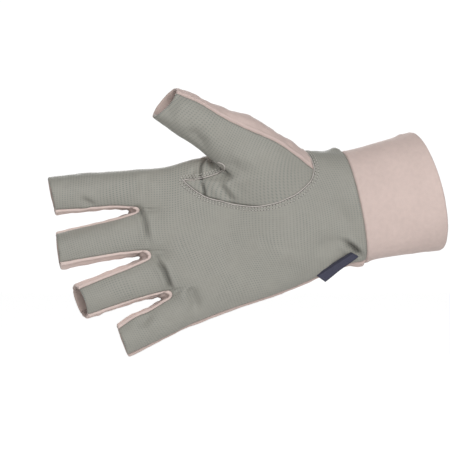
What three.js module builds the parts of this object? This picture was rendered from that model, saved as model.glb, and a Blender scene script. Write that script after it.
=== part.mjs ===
// A fingerless sun glove for the right hand, in the full shape that it has when it is worn.
// The palm faces -Y, the fingers point to -X and the thumb side is up (+Z).
// The origin is the centre of the wrist opening. Sizes are in millimetres.
// Each cut panel of the glove is one hollow wall of its own, with a hairline gap at its seams.
import * as THREE from "three";

// Wall thicknesses and the gap between two sewn panels
const LEATHER_WALL = 1.2;
const STRETCH_WALL = 1.0;
const CUFF_WALL = 1.6;
const SEAM_GAP = 0.34;
// How far a pointed corner of a panel may draw in for that gap, as the least value of a mitre's divisor
const LEAST_MITRE = 0.4;
// Points of two panels in the same cell of this size are one point of the skin
const WELD = 0.04;
const ROUNDING = 1e-6;

// How finely the panels are divided
const FINGER_COLUMNS = 6;
const WEB_STEPS = 4;
const PALM_STEP = 0.5;
const KNUCKLE_STEP = 0.25;
const FINGER_STEP = 0.5;
const SIDE_COLUMNS = 4;
const THUMB_STEP = 0.5;
const THUMB_BASE_STEP = 0.25;
const CUFF_STEP = 0.75;

const rad = THREE.MathUtils.degToRad;
const lerp = THREE.MathUtils.lerp;

// A section across the glove runs from its radial (thumb side) edge to its ulnar edge, both as [x, z].
// y is the depth of its middle, front and back its half depths, and tilt its palm side's lean to the wrist.
// square is how boxy it is: 2 is an ellipse, and more has flatter faces.
// These are the wrist, the heel of the hand, the lower, middle and upper palm, and the knuckles.
const PALM_RINGS = [
  { radial: [-46.3, 21.3], ulnar: [-33.8, -38.3], y: -9, front: 18.5, back: 17.5, tilt: 10, square: 2.25 },
  { radial: [-62.1, 21.8], ulnar: [-46.9, -41.8], y: -10, front: 16.5, back: 16, tilt: 7, square: 2.4 },
  { radial: [-81.7, 20.7], ulnar: [-65.4, -49.1], y: -11, front: 15, back: 15, tilt: 3, square: 2.6 },
  { radial: [-101.3, 19.1], ulnar: [-86.1, -57.8], y: -11, front: 14, back: 14, tilt: 1, square: 2.7 },
  { radial: [-120.9, 18.5], ulnar: [-107.8, -65.7], y: -11, front: 13.5, back: 13.5, tilt: 0, square: 2.7 },
  { radial: [-139.3, 13.6], ulnar: [-125.2, -72.5], y: -11.5, front: 12.5, back: 12.5, tilt: 0, square: 2.6 },
];

// An angle round a section is 0 at its radial edge, 90 on the palm side and 180 at its ulnar edge.
// palm is a finger's share of the palm's sections. baseSeams and tipSeams are its side seams' angles:
// front radial, front ulnar, back ulnar, back radial. A ring's half depth is the same front and back.
const FINGER_SQUARE = [2.3, 2.2, 2.1, 2.1];
const FINGERS = [
  {
    name: "index",
    palm: [-8, 65],
    baseSeams: [-8, 143, 222, -8],
    tipSeams: [-8, 143, 222, -8],
    rings: [
      { radial: [-157.2, 11.7], ulnar: [-158.8, -10.7], y: -13, half: 10.3, tilt: 3 },
      { radial: [-171.1, 10.5], ulnar: [-171.1, -10.2], y: -15, half: 9.6, tilt: 7 },
      { radial: [-186.1, 9.5], ulnar: [-184.5, -11.7], y: -17, half: 9.3, tilt: 9 },
      { radial: [-203.9, 7.2], ulnar: [-199.7, -12.5], y: -19.5, half: 8.8, tilt: 9 },
    ],
  },
  {
    name: "middle",
    palm: [68.5, 90],
    baseSeams: [34, 136, 226, -44],
    tipSeams: [8, 128, 222, -34],
    rings: [
      { radial: [-158.8, -10.7], ulnar: [-152.3, -35.2], y: -13, half: 10.6, tilt: 3 },
      { radial: [-170.6, -14.9], ulnar: [-166.5, -36.8], y: -15, half: 9.9, tilt: 7 },
      { radial: [-186.1, -19.0], ulnar: [-181.8, -39.6], y: -17, half: 9.4, tilt: 9 },
      { radial: [-199.6, -22.9], ulnar: [-197.2, -42.1], y: -19.5, half: 8.9, tilt: 9 },
    ],
  },
  {
    name: "ring",
    palm: [92, 113],
    baseSeams: [40, 138, 224, -42],
    tipSeams: [46, 146, 222, -38],
    rings: [
      { radial: [-152.3, -35.2], ulnar: [-140.6, -56.6], y: -13, half: 10.3, tilt: 3 },
      { radial: [-164.6, -40.3], ulnar: [-158.7, -60.9], y: -15, half: 9.6, tilt: 7 },
      { radial: [-177.4, -45.0], ulnar: [-171.5, -64.8], y: -17, half: 9.2, tilt: 9 },
      { radial: [-189.9, -50.2], ulnar: [-183.2, -68.5], y: -19, half: 8.7, tilt: 22 },
    ],
  },
  {
    name: "little",
    palm: [116.5, 164],
    baseSeams: [38, 158, 158, -40],
    tipSeams: [38, 150, 150, -38],
    rings: [
      { radial: [-140.6, -56.6], ulnar: [-130.6, -74.3], y: -13, half: 9.4, tilt: 3 },
      { radial: [-152.2, -63.2], ulnar: [-144.1, -81.2], y: -14.5, half: 8.7, tilt: 6 },
      { radial: [-160.2, -66.8], ulnar: [-152.7, -85.4], y: -16, half: 8.4, tilt: 8 },
      { radial: [-167.3, -71.8], ulnar: [-160.7, -89.2], y: -17.5, half: 8.0, tilt: 8 },
    ],
  },
];

// The forearm cuff, from the wrist seam to its folded end
const CUFF_RINGS = [
  PALM_RINGS[0],
  { radial: [-33.5, 24.7], ulnar: [-20.4, -35.9], y: -6, front: 19.5, back: 18.5, tilt: 13, square: 2.15 },
  { radial: [-20.1, 28.7], ulnar: [-5.3, -34.0], y: -3, front: 21.5, back: 20.5, tilt: 16, square: 2.1 },
  { radial: [-8.4, 32.2], ulnar: [8.2, -32.2], y: 0, front: 23.5, back: 22.5, tilt: 16, square: 2.0 },
];

// The thumb, from the ball of the thumb to its opening. Its radial edge is the upper one.
const THUMB_RINGS = [
  { radial: [-80.5, 30.5], ulnar: [-107.5, 8.4], y: -23.5, front: 12.5, back: 10.0, tilt: 18, square: 2.1 },
  { radial: [-96.1, 39.8], ulnar: [-118.0, 17.6], y: -24, front: 12.5, back: 11.5, tilt: 12, square: 2.1 },
  { radial: [-108.9, 43.9], ulnar: [-126.5, 24.4], y: -26, front: 11.5, back: 11.0, tilt: 10, square: 2.1 },
  { radial: [-122.2, 49.3], ulnar: [-135.5, 30.1], y: -28, front: 10.3, back: 10.3, tilt: 12, square: 2.1 },
  { radial: [-134.4, 54.2], ulnar: [-147.0, 38.2], y: -30, front: 9.4, back: 9.4, tilt: 18, square: 2.1 },
];
// The seams between the thumb's leather front and stretch back, from its base to its opening
const THUMB_RADIAL_SEAM = [50, 42, 58, 54, 45, 38];
const THUMB_CROTCH_SEAM = [197, 196, 194, 192, 190, 190];
// Behind the hand the thumb's skin rises straight from its base, and it starts and stops to do so
// between these angles of its first ring
const RISES = { from: [182, 206], to: [320, 350] };

// The seam that sets the thumb into the palm: where each angle of the thumb meets the palm,
// as a station along PALM_RINGS and an angle round them
const THUMB_SEAM = [
  { thumb: -10, station: 1.35, angle: -8 },
  { thumb: 5, station: 1.24, angle: 9 },
  { thumb: 20, station: 1.18, angle: 25 },
  { thumb: 35, station: 1.16, angle: 39 },
  { thumb: 50, station: 1.18, angle: 52 },
  { thumb: 64, station: 1.28, angle: 62 },
  { thumb: 78, station: 1.6, angle: 73 },
  { thumb: 92, station: 2.13, angle: 79.8 },
  { thumb: 106, station: 2.67, angle: 80.9 },
  { thumb: 120, station: 3.2, angle: 78 },
  { thumb: 134, station: 3.72, angle: 73 },
  { thumb: 147, station: 4.15, angle: 66.3 },
  { thumb: 158, station: 4.45, angle: 57 },
  { thumb: 166, station: 4.67, angle: 45.4 },
  { thumb: 173, station: 4.24, angle: 48.5 },
  { thumb: 182, station: 3.9, angle: 48 },
  { thumb: 190, station: 3.65, angle: 44.5 },
  { thumb: 197, station: 3.49, angle: 38 },
  { thumb: 205, station: 3.55, angle: 29 },
  { thumb: 216, station: 3.8, angle: 12 },
  { thumb: 228, station: 3.92, angle: -8 },
  { thumb: 246, station: 3.72, angle: -20 },
  { thumb: 268, station: 3.2, angle: -27 },
  { thumb: 298, station: 2.4, angle: -28 },
  { thumb: 325, station: 1.75, angle: -21 },
  { thumb: 350, station: 1.35, angle: -8 },
];
const SEAM_START = THUMB_SEAM[0].thumb;
const SEAM_END = THUMB_SEAM[THUMB_SEAM.length - 1].thumb;
// It crosses from the palm panel to the back panel at this angle of the thumb
const CROSSING = 228;
// The opening is cut on the unrolled palm, where a station and a degree are about this many millimetres
const STATION_MM = 20;
const DEGREE_MM = 1 / 3;
// Faces this close to the seam are cut away with those that it crosses
const CUT_MARGIN = { station: 0.1, angle: 3 };
const MOST_ROUNDS = 400;

// How far the skin between two fingers reaches past the base of the palm's slit, half way through its depth,
// and how deep its bend is
const WEB_REACH = 0.42;
const WEB_BEND = 2.6;

// Folds in the worn fabric: a groove of a given width and depth from one [x, z] to another.
const FOLDS = [
  { name: "index crease", from: [-155, 10], to: [-153, -8], width: 3.2, depth: 0.9 },
  { name: "middle crease", from: [-156, -11], to: [-149, -35], width: 3.2, depth: 1.9 },
  { name: "ring crease", from: [-149, -35], to: [-138, -56], width: 3.2, depth: 1.9 },
  { name: "little crease", from: [-137, -57], to: [-127, -72], width: 3.2, depth: 1.5 },
  { name: "wrist tuck", from: [-54, -28], to: [-43, -37], width: 3.0, depth: 2.8 },
  { name: "thumb crease", from: [-121.5, 13.5], to: [-121.8, -1.0], width: 1.8, depth: 1.6 },
  { name: "crotch crease", from: [-117.6, 14.5], to: [-117.0, 9.5], width: 1.6, depth: 1.0 },
  { name: "ball dent", from: [-110.5, 6.0], to: [-103.5, -4.5], width: 3.0, depth: 1.0 },
  { name: "index dent", from: [-183, -8], to: [-173, -2], width: 3.4, depth: 1.0 },
  { name: "little dent", from: [-150, -73], to: [-143, -64], width: 3.4, depth: 0.9 },
];

// Swellings and hollows: a mound of a given rise round a point [x, y, z], which fades away over its reach
const MOUNDS = [
  { name: "heel of the hand", at: [-78, -26, -34], reach: 24, rise: 2.6 },
  { name: "hollow of the palm", at: [-108, -25, -24], reach: 20, rise: -2.4 },
  { name: "pads under the fingers", at: [-137, -25, -34], reach: 13, rise: 0.9 },
  { name: "bunching over the wrist", at: [-50, -9, 22], reach: 3.6, rise: 2.4 },
  { name: "bunching under the wrist", at: [-36.5, -9, -39], reach: 4.5, rise: 2.2 },
];

// The label's corners, clockwise from the wrist end of its sewn edge
const LABEL = {
  corners: [[-41.4, -24.0, -33.6], [-60.3, -19.2, -45.7], [-55.1, -16.2, -49.2], [-37.7, -21.6, -35.6]],
  thickness: 1.0,
};

const LEATHER = new THREE.MeshStandardMaterial({ color: 0x97968e, roughness: 0.8, metalness: 0 });
const STRETCH = new THREE.MeshStandardMaterial({ color: 0xd3c0b8, roughness: 0.75, metalness: 0 });
const LABEL_CLOTH = new THREE.MeshStandardMaterial({ color: 0x3a3c50, roughness: 0.85, metalness: 0 });

const unit = (from, to) => to.clone().sub(from).normalize();
const signedPower = (value, power) => Math.sign(value) * Math.abs(value) ** power;

// The point at an angle round a section
function sectionPoint(ring, degrees) {
  const radial = new THREE.Vector3(ring.radial[0], ring.y, ring.radial[1]);
  const ulnar = new THREE.Vector3(ring.ulnar[0], ring.y, ring.ulnar[1]);
  const halfWidth = ulnar.clone().sub(radial).multiplyScalar(0.5);
  const toWrist = new THREE.Vector3(-halfWidth.z, 0, halfWidth.x).normalize();
  const tilt = rad(ring.tilt);
  const toFront = new THREE.Vector3(0, -Math.cos(tilt), 0).addScaledVector(toWrist, Math.sin(tilt));
  const across = -signedPower(Math.cos(rad(degrees)), 2 / ring.square);
  const deep = signedPower(Math.sin(rad(degrees)), 2 / ring.square);
  return radial
    .lerp(ulnar, 0.5)
    .addScaledVector(halfWidth, across)
    .addScaledVector(toFront, deep * (deep > 0 ? ring.front : ring.back));
}

// A smooth curve through points, one for each whole station. Tangents may be given for its ends.
function alongPoints(points, station, startTangent, endTangent) {
  const last = points.length - 1;
  const slope = (i, j) => unit(points[i], points[j]);
  const tangent = (i) => {
    if (i === 0) return startTangent ?? slope(0, 1);
    if (i === last) return endTangent ?? slope(last - 1, last);
    const before = points[i].distanceTo(points[i - 1]);
    const after = points[i].distanceTo(points[i + 1]);
    return slope(i, i + 1).lerp(slope(i - 1, i), after / (before + after));
  };
  const i = Math.min(Math.floor(station), last - 1);
  const t = station - i;
  const length = points[i].distanceTo(points[i + 1]);
  return new THREE.Vector3()
    .addScaledVector(points[i], 2 * t ** 3 - 3 * t ** 2 + 1)
    .addScaledVector(tangent(i), length * (t ** 3 - 2 * t ** 2 + t))
    .addScaledVector(points[i + 1], -2 * t ** 3 + 3 * t ** 2)
    .addScaledVector(tangent(i + 1), length * (t ** 3 - t ** 2));
}

// The palm's own surface at a station along PALM_RINGS and an angle round them
function palmPoint(station, degrees) {
  return alongPoints(PALM_RINGS.map((ring) => sectionPoint(ring, degrees)), station);
}

// Seam i of a finger at one of its rings
function seamAngle(finger, seam, ringIndex) {
  return lerp(finger.baseSeams[seam], finger.tipSeams[seam], ringIndex / (finger.rings.length - 1));
}

// The points of a finger's rings on the line that angleAt gives for each ring
function fingerLine(finger, angleAt) {
  return finger.rings.map(({ half, ...ring }, i) =>
    sectionPoint({ ...ring, front: half, back: half, square: FINGER_SQUARE[i] }, angleAt(i)),
  );
}

// The columns of a hand panel: each crosses a finger, or the web after one, at a share of its width
function panelColumns(fingerColumns, webColumns) {
  const columns = [];
  FINGERS.forEach((finger, index) => {
    for (let i = 0; i <= fingerColumns; i++) columns.push({ finger: index, share: i / fingerColumns });
    if (index === FINGERS.length - 1) return;
    for (let i = 1; i < webColumns; i++) columns.push({ web: index, share: i / webColumns });
  });
  return columns;
}

// The back panel runs through the same columns at the mirrored angles, ending at the same two outer seams.
function palmAngle(column, isBack) {
  const first = FINGERS[0].palm[0];
  const last = FINGERS[FINGERS.length - 1].palm[1];
  const index = column.finger ?? column.web;
  const angle =
    column.web === undefined
      ? lerp(...FINGERS[index].palm, column.share)
      : lerp(FINGERS[index].palm[1], FINGERS[index + 1].palm[0], column.share);
  if (!isBack) return angle;
  return lerp(first, last - 360, (angle - first) / (last - first));
}

function fingerAngle(finger, share, ringIndex, isBack) {
  if (!isBack) return lerp(seamAngle(finger, 0, ringIndex), seamAngle(finger, 1, ringIndex), share);
  return lerp(seamAngle(finger, 3, ringIndex), seamAngle(finger, 2, ringIndex) - 360, share);
}

// The two sides of the slit after a finger. depth runs from 0 at the palm panel's seam to 1 at the back's.
function slitSides(index, depth) {
  const near = FINGERS[index];
  const far = FINGERS[index + 1];
  const nearLine = fingerLine(near, (i) => lerp(seamAngle(near, 1, i), seamAngle(near, 2, i), depth));
  const farLine = fingerLine(far, (i) => lerp(seamAngle(far, 0, i), seamAngle(far, 3, i), depth));
  const start = WEB_REACH * 4 * depth * (1 - depth);
  return { nearLine, farLine, start };
}

// The bend round the foot of the slit, from one finger's base to the next one's
function slitBend(index, depth, share) {
  const { nearLine, farLine, start } = slitSides(index, depth);
  const from = alongPoints(nearLine, start);
  const to = alongPoints(farLine, start);
  const pull = (WEB_BEND * 4) / 3;
  const near = from.clone().addScaledVector(unit(nearLine[1], nearLine[0]), pull);
  const far = to.clone().addScaledVector(unit(farLine[1], farLine[0]), pull);
  return new THREE.CubicBezierCurve3(from, near, far, to).getPoint(share);
}

// A panel point: stations 0 to 5 are the palm, 5 to 6 the foot of the fingers, and above that the fingers.
function panelPoint(column, station, isBack) {
  const palmLine = PALM_RINGS.map((ring) => sectionPoint(ring, palmAngle(column, isBack)));
  const knuckles = PALM_RINGS.length - 1;
  if (station <= knuckles) return alongPoints(palmLine, station);
  const fingerOf = (index, share) =>
    fingerLine(FINGERS[index], (i) => fingerAngle(FINGERS[index], share, i, isBack));
  let foot;
  let heading;
  if (column.web === undefined) {
    const line = fingerOf(column.finger, column.share);
    if (station > knuckles + 1) return alongPoints(line, station - knuckles - 1);
    foot = line[0];
    heading = unit(line[0], line[1]);
  } else {
    const near = fingerOf(column.web, 1);
    const far = fingerOf(column.web + 1, 0);
    foot = slitBend(column.web, isBack ? 1 : 0, column.share);
    heading = unit(near[0], near[1]).lerp(unit(far[0], far[1]), column.share);
  }
  const rise = unit(palmLine[knuckles - 1], palmLine[knuckles]);
  return alongPoints([palmLine[knuckles], foot], station - knuckles, rise, heading);
}

const steps = (from, to, step) => {
  const count = Math.max(1, Math.round(Math.abs(to - from) / step));
  return Array.from({ length: count + 1 }, (_, i) => from + ((to - from) * i) / count);
};

// A patch is the outer skin of one panel: its points, its faces and each point's place on the palm
function gridPatch(name, rows, columns, pointAt, flip, skip = () => false) {
  const patch = { name, points: [], faces: [], places: [] };
  for (const row of rows)
    for (const column of columns) {
      const { point, place } = pointAt(row, column);
      patch.points.push(point);
      patch.places.push(place);
    }
  for (let r = 0; r < rows.length - 1; r++)
    for (let c = 0; c < columns.length - 1; c++) {
      if (skip(rows[r], columns[c], columns[c + 1])) continue;
      const a = r * columns.length + c;
      const face = [a, a + columns.length, a + columns.length + 1, a + 1];
      patch.faces.push(flip ? face.reverse() : face);
    }
  return patch;
}

function handPanel(name, isBack) {
  const knuckles = PALM_RINGS.length - 1;
  const columns = panelColumns(FINGER_COLUMNS, WEB_STEPS);
  const rows = [
    ...steps(0, knuckles - 1, PALM_STEP),
    ...steps(knuckles - 1, knuckles + 1, KNUCKLE_STEP).slice(1),
    ...steps(knuckles + 1, knuckles + FINGER_SQUARE.length, FINGER_STEP).slice(1),
  ];
  const pointAt = (row, column) => {
    const place = { station: row, angle: palmAngle(column, isBack) };
    return { point: panelPoint(column, row, isBack), place };
  };
  const overSlit = (row, left, right) =>
    row >= knuckles + 1 && (left.finger === undefined || left.finger !== right.finger);
  return gridPatch(name, rows, columns, pointAt, isBack, overSlit);
}

// A fourchette: the strip that lines a slit between two fingers, down one, round the web and up the other
function fourchette(index) {
  const tip = FINGER_SQUARE.length - 1;
  const rows = [
    ...steps(tip, 0, FINGER_STEP).map((up) => ({ side: "near", up })),
    ...steps(0, 1, 1 / WEB_STEPS).slice(1, -1).map((share) => ({ share })),
    ...steps(0, tip, FINGER_STEP).map((up) => ({ side: "far", up })),
  ];
  const pointAt = (row, depth) => {
    const { nearLine, farLine, start } = slitSides(index, depth);
    const up = lerp(start, tip, row.up / tip);
    const point = row.side
      ? alongPoints(row.side === "near" ? nearLine : farLine, up)
      : slitBend(index, depth, row.share);
    return { point, place: null };
  };
  const name = `fourchette_${FINGERS[index].name}_${FINGERS[index + 1].name}`;
  return gridPatch(name, rows, steps(0, 1, 1 / SIDE_COLUMNS), pointAt, true);
}

// The tube of the cuff, on the columns of both hand panels so that it meets them along the wrist seam
function cuffPatch() {
  const columns = panelColumns(FINGER_COLUMNS, WEB_STEPS);
  const front = columns.map((column) => palmAngle(column, false));
  const back = columns.map((column) => palmAngle(column, true) + 360).reverse();
  const pointAt = (row, angle) => ({
    point: alongPoints(CUFF_RINGS.map((ring) => sectionPoint(ring, angle)), row),
    place: null,
  });
  const rows = steps(0, CUFF_RINGS.length - 1, CUFF_STEP);
  return gridPatch("cuff", rows, [...front, ...back.slice(1)], pointAt, true);
}

// The palm's station and angle on the thumb seam at an angle of the thumb
function thumbSeamAt(turn) {
  const unrolled = ({ station, angle }) => new THREE.Vector3(station * STATION_MM, angle * DEGREE_MM, 0);
  const passed = THUMB_SEAM.findLastIndex((row) => row.thumb <= turn + ROUNDING);
  const i = Math.min(passed, THUMB_SEAM.length - 2);
  const share = (turn - THUMB_SEAM[i].thumb) / (THUMB_SEAM[i + 1].thumb - THUMB_SEAM[i].thumb);
  const place = alongPoints(THUMB_SEAM.map(unrolled), i + THREE.MathUtils.clamp(share, 0, 1));
  return { station: place.x / STATION_MM, angle: place.y / DEGREE_MM };
}

// The angles of the thumb seam's table between two of them, each step cut into parts
function thumbTurns(from, to, parts) {
  const rows = THUMB_SEAM.slice(0, -1).map((row) => row.thumb);
  const turns = [...rows, ...rows.map((turn) => turn + 360)].filter((turn) => turn >= from && turn <= to);
  const cut = (turn, next) => steps(turn, next, (next - turn) / parts).slice(0, -1);
  return [...turns.slice(0, -1).flatMap((turn, i) => cut(turn, turns[i + 1])), to];
}

// The thumb's point on the line that starts at an angle of its seam and passes its rings at the angles given
function thumbPoint(turn, angles, row) {
  const seam = thumbSeamAt(turn > SEAM_END ? turn - 360 : turn);
  const base = palmPoint(seam.station, seam.angle);
  const rings = THUMB_RINGS.map((ring, i) => sectionPoint(ring, angles[i + 1]));
  const started = THREE.MathUtils.smoothstep(angles[1], ...RISES.from);
  const stopped = THREE.MathUtils.smoothstep(angles[1], ...RISES.to);
  rings[0].lerp(base.clone().lerp(rings[1], 0.5), started * (1 - stopped));
  return alongPoints([base, ...rings], row);
}

// One part of the thumb between two of its seams, each given by its angle at the base and at every ring
function thumbPatch(name, startAngles, endAngles) {
  const turns = thumbTurns(startAngles[0], endAngles[0], 1);
  const rows = [...steps(0, 2, THUMB_BASE_STEP), ...steps(2, THUMB_RINGS.length, THUMB_STEP).slice(1)];
  const pointAt = (row, turn) => {
    const share = (turn - startAngles[0]) / (endAngles[0] - startAngles[0]);
    const angles = startAngles.map((start, i) => lerp(start, endAngles[i], share));
    return { point: thumbPoint(turn, angles, row), place: null };
  };
  return gridPatch(name, rows, turns, pointAt, false);
}

// Turns the shared side of two triangles wherever that makes them less thin
function evenOut(triangles, flat) {
  const angleAt = (k, i, j) => {
    const [a, b] = [flat[i].clone().sub(flat[k]), flat[j].clone().sub(flat[k])];
    return Math.atan2(Math.abs(a.cross(b)), a.dot(b));
  };
  const sideOf = (t, n, k) => [`${t[k]}_${t[(k + 1) % 3]}`, [n, t[(k + 2) % 3]]];
  for (let turned = true, rounds = 0; turned && rounds < MOST_ROUNDS; rounds++) {
    const sides = new Map(triangles.flatMap((t, n) => t.map((_, k) => sideOf(t, n, k))));
    turned = [...sides].some(([side, [n, top]]) => {
      const [i, j] = side.split("_").map(Number);
      const [m, foot] = sides.get(`${j}_${i}`) ?? [];
      if (m === undefined) return false;
      if (angleAt(top, i, j) + angleAt(foot, i, j) < Math.PI + ROUNDING) return false;
      triangles[n] = [top, i, foot];
      triangles[m] = [foot, j, top];
      return true;
    });
  }
}

// Opens a panel for the thumb between two angles of its seam: the faces that the seam touches or encloses
// are taken out, and triangles fill up to the seam again
function openForThumb(patch, fromTurn, toTurn) {
  const round = thumbTurns(SEAM_START, SEAM_END, 6).map(thumbSeamAt);
  const enclosed = (station, angle) =>
    round.reduce((odd, a, i) => {
      const b = round[(i + 1) % round.length];
      if (a.angle > angle === b.angle > angle) return odd;
      const crossing = a.station + ((angle - a.angle) * (b.station - a.station)) / (b.angle - a.angle);
      return station < crossing ? !odd : odd;
    }, false);
  const taken = patch.faces.filter((face) => {
    const stations = face.map((i) => patch.places[i].station);
    const angles = face.map((i) => patch.places[i].angle);
    const low = Math.min(...stations) - CUT_MARGIN.station;
    const high = Math.max(...stations) + CUT_MARGIN.station;
    const near = Math.min(...angles) - CUT_MARGIN.angle;
    const far = Math.max(...angles) + CUT_MARGIN.angle;
    const touches = (p) => p.station > low && p.station < high && p.angle > near && p.angle < far;
    return round.some(touches) || enclosed((low + high) / 2, (near + far) / 2);
  });
  const left = patch.faces.filter((face) => !taken.includes(face));
  const sides = (faces) => faces.flatMap((face) => face.map((i, k) => [i, face[(k + 1) % face.length]]));
  const kept = new Set(sides(left).map(([i, j]) => `${j}_${i}`));
  const next = new Map(sides(taken).filter(([i, j]) => kept.has(`${i}_${j}`)));
  const ends = new Set(next.values());
  let corner = [...next.keys()].find((i) => !ends.has(i));
  const outline = [corner];
  while (next.has(corner)) outline.push((corner = next.get(corner)));
  for (const turn of thumbTurns(fromTurn, toTurn, 1)) {
    const place = thumbSeamAt(turn);
    outline.push(patch.points.push(palmPoint(place.station, place.angle)) - 1);
    patch.places.push(place);
  }
  const flat = outline
    .map((i) => patch.places[i])
    .map(({ station, angle }) => new THREE.Vector2(station * STATION_MM, angle * DEGREE_MM));
  const fill = THREE.ShapeUtils.triangulateShape(flat, []);
  const area = fill.reduce((sum, corners) => sum + THREE.ShapeUtils.area(corners.map((c) => flat[c])), 0);
  if (area < 0) fill.forEach((corners) => corners.reverse());
  evenOut(fill, flat);
  patch.faces = [...left, ...fill.map((corners) => corners.map((c) => outline[c]))];
}

function faceNormal(points, face) {
  const across = points[face[2]].clone().sub(points[face[0]]);
  const last = points[face[3] ?? face[0]];
  return across.cross(last.clone().sub(points[face[1]])).multiplyScalar(0.5);
}

// One normal for each point, shared by every patch that has a point in the same place
function skinNormals(patches) {
  const sums = new Map();
  const key = (p) => [p.x, p.y, p.z].map((v) => Math.round(v / WELD)).join();
  for (const { points, faces } of patches)
    for (const face of faces) {
      const normal = faceNormal(points, face);
      for (const i of face) {
        const place = key(points[i]);
        if (!sums.has(place)) sums.set(place, new THREE.Vector3());
        sums.get(place).add(normal);
      }
    }
  // A point inside the thumb's opening belongs to no face
  const toPalm = new THREE.Vector3(0, -1, 0);
  return patches.map(({ points }) => points.map((p) => (sums.get(key(p)) ?? toPalm).clone().normalize()));
}

// How far the fabric stands out at a point. The folds are only on the palm side.
function relief(point, normal) {
  let out = 0;
  for (const fold of FOLDS) {
    const from = new THREE.Vector2(...fold.from);
    const along = new THREE.Vector2(...fold.to).sub(from);
    const to = new THREE.Vector2(point.x, point.z).sub(from);
    const share = THREE.MathUtils.clamp(to.dot(along) / along.lengthSq(), 0, 1);
    const away = to.addScaledVector(along, -share).length() / fold.width;
    out -= fold.depth * Math.exp(-away * away) * Math.max(0, -normal.y);
  }
  for (const mound of MOUNDS) {
    const away = point.distanceTo(new THREE.Vector3(...mound.at)) / mound.reach;
    out += mound.rise * Math.exp(-away * away);
  }
  return out;
}

// The closed wall of a panel: its skin, the same skin a wall's thickness further in, and their joining rim
function wallGeometry({ points, faces }, normals, thickness, gap) {
  const edges = new Map();
  for (const face of faces)
    face.forEach((i, k) => {
      const j = face[(k + 1) % face.length];
      if (!edges.delete(`${j}_${i}`)) edges.set(`${i}_${j}`, [i, j]);
    });
  const insets = new Map();
  for (const [i, j] of edges.values())
    for (const k of [i, j]) {
      const inward = normals[k].clone().cross(points[j].clone().sub(points[i])).normalize();
      insets.set(k, [...(insets.get(k) ?? []), inward]);
    }
  const outer = points.map((p, i) => {
    if (!insets.has(i)) return p;
    const [a, b] = insets.get(i);
    return p.clone().addScaledVector(a.clone().add(b), gap / 2 / Math.max(LEAST_MITRE, 1 + a.dot(b)));
  });
  const inner = outer.map((p, i) => p.clone().addScaledVector(normals[i], -thickness));
  const positions = [];
  const put = (...corners) => corners.forEach((p) => positions.push(p.x, p.y, p.z));
  for (const face of faces)
    for (let k = 1; k < face.length - 1; k++) {
      put(outer[face[0]], outer[face[k]], outer[face[k + 1]]);
      put(inner[face[0]], inner[face[k + 1]], inner[face[k]]);
    }
  for (const [i, j] of edges.values()) {
    put(outer[j], outer[i], inner[i]);
    put(outer[j], inner[i], inner[j]);
  }
  const geometry = new THREE.BufferGeometry();
  geometry.setAttribute("position", new THREE.Float32BufferAttribute(positions, 3));
  geometry.computeVertexNormals();
  return geometry;
}

// The folded label that stands off the side seam by the wrist
function labelPatch() {
  const [a, b, c, d] = LABEL.corners.map((corner) => new THREE.Vector3(...corner));
  const pointAt = (row, column) => ({
    point: a.clone().lerp(d, row).lerp(b.clone().lerp(c, row), column),
    place: null,
  });
  return gridPatch("side_label", steps(0, 1, 0.5), steps(0, 1, 0.25), pointAt, false);
}

const palmPatch = handPanel("palm_panel", false);
const backPatch = handPanel("back_panel", true);
openForThumb(palmPatch, SEAM_START, CROSSING);
openForThumb(backPatch, CROSSING, SEAM_END);
const thumbFront = thumbPatch("thumb_front", THUMB_RADIAL_SEAM, THUMB_CROTCH_SEAM);
const radialSeamAgain = THUMB_RADIAL_SEAM.map((angle) => angle + 360);
const thumbBack = thumbPatch("thumb_back", THUMB_CROTCH_SEAM, radialSeamAgain);
const panels = [
  { patch: palmPatch, thickness: LEATHER_WALL, material: LEATHER },
  { patch: backPatch, thickness: STRETCH_WALL, material: STRETCH },
  ...[0, 1, 2].map((index) => ({ patch: fourchette(index), thickness: STRETCH_WALL, material: STRETCH })),
  { patch: cuffPatch(), thickness: CUFF_WALL, material: STRETCH },
  { patch: thumbFront, thickness: LEATHER_WALL, material: LEATHER },
  { patch: thumbBack, thickness: STRETCH_WALL, material: STRETCH },
];

const skins = panels.map(({ patch }) => patch);
const flatNormals = skinNormals(skins);
skins.forEach((patch, p) => {
  patch.points = patch.points.map((point, i) => {
    const normal = flatNormals[p][i];
    return point.clone().addScaledVector(normal, relief(point, normal));
  });
});
const normals = skinNormals(skins);

const glove = new THREE.Group();
const add = (patch, patchNormals, thickness, material) => {
  const mesh = new THREE.Mesh(wallGeometry(patch, patchNormals, thickness, SEAM_GAP), material);
  mesh.name = patch.name;
  glove.add(mesh);
};
panels.forEach(({ patch, thickness, material }, p) => add(patch, normals[p], thickness, material));
const label = labelPatch();
add(label, skinNormals([label])[0], LABEL.thickness, LABEL_CLOTH);

export default glove;
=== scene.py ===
"""The looks of a fingerless sun glove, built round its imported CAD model."""

import math

import bpy
import numpy as np
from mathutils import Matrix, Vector, noise
from mathutils.bvhtree import BVHTree
from mathutils.geometry import delaunay_2d_cdt


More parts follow.
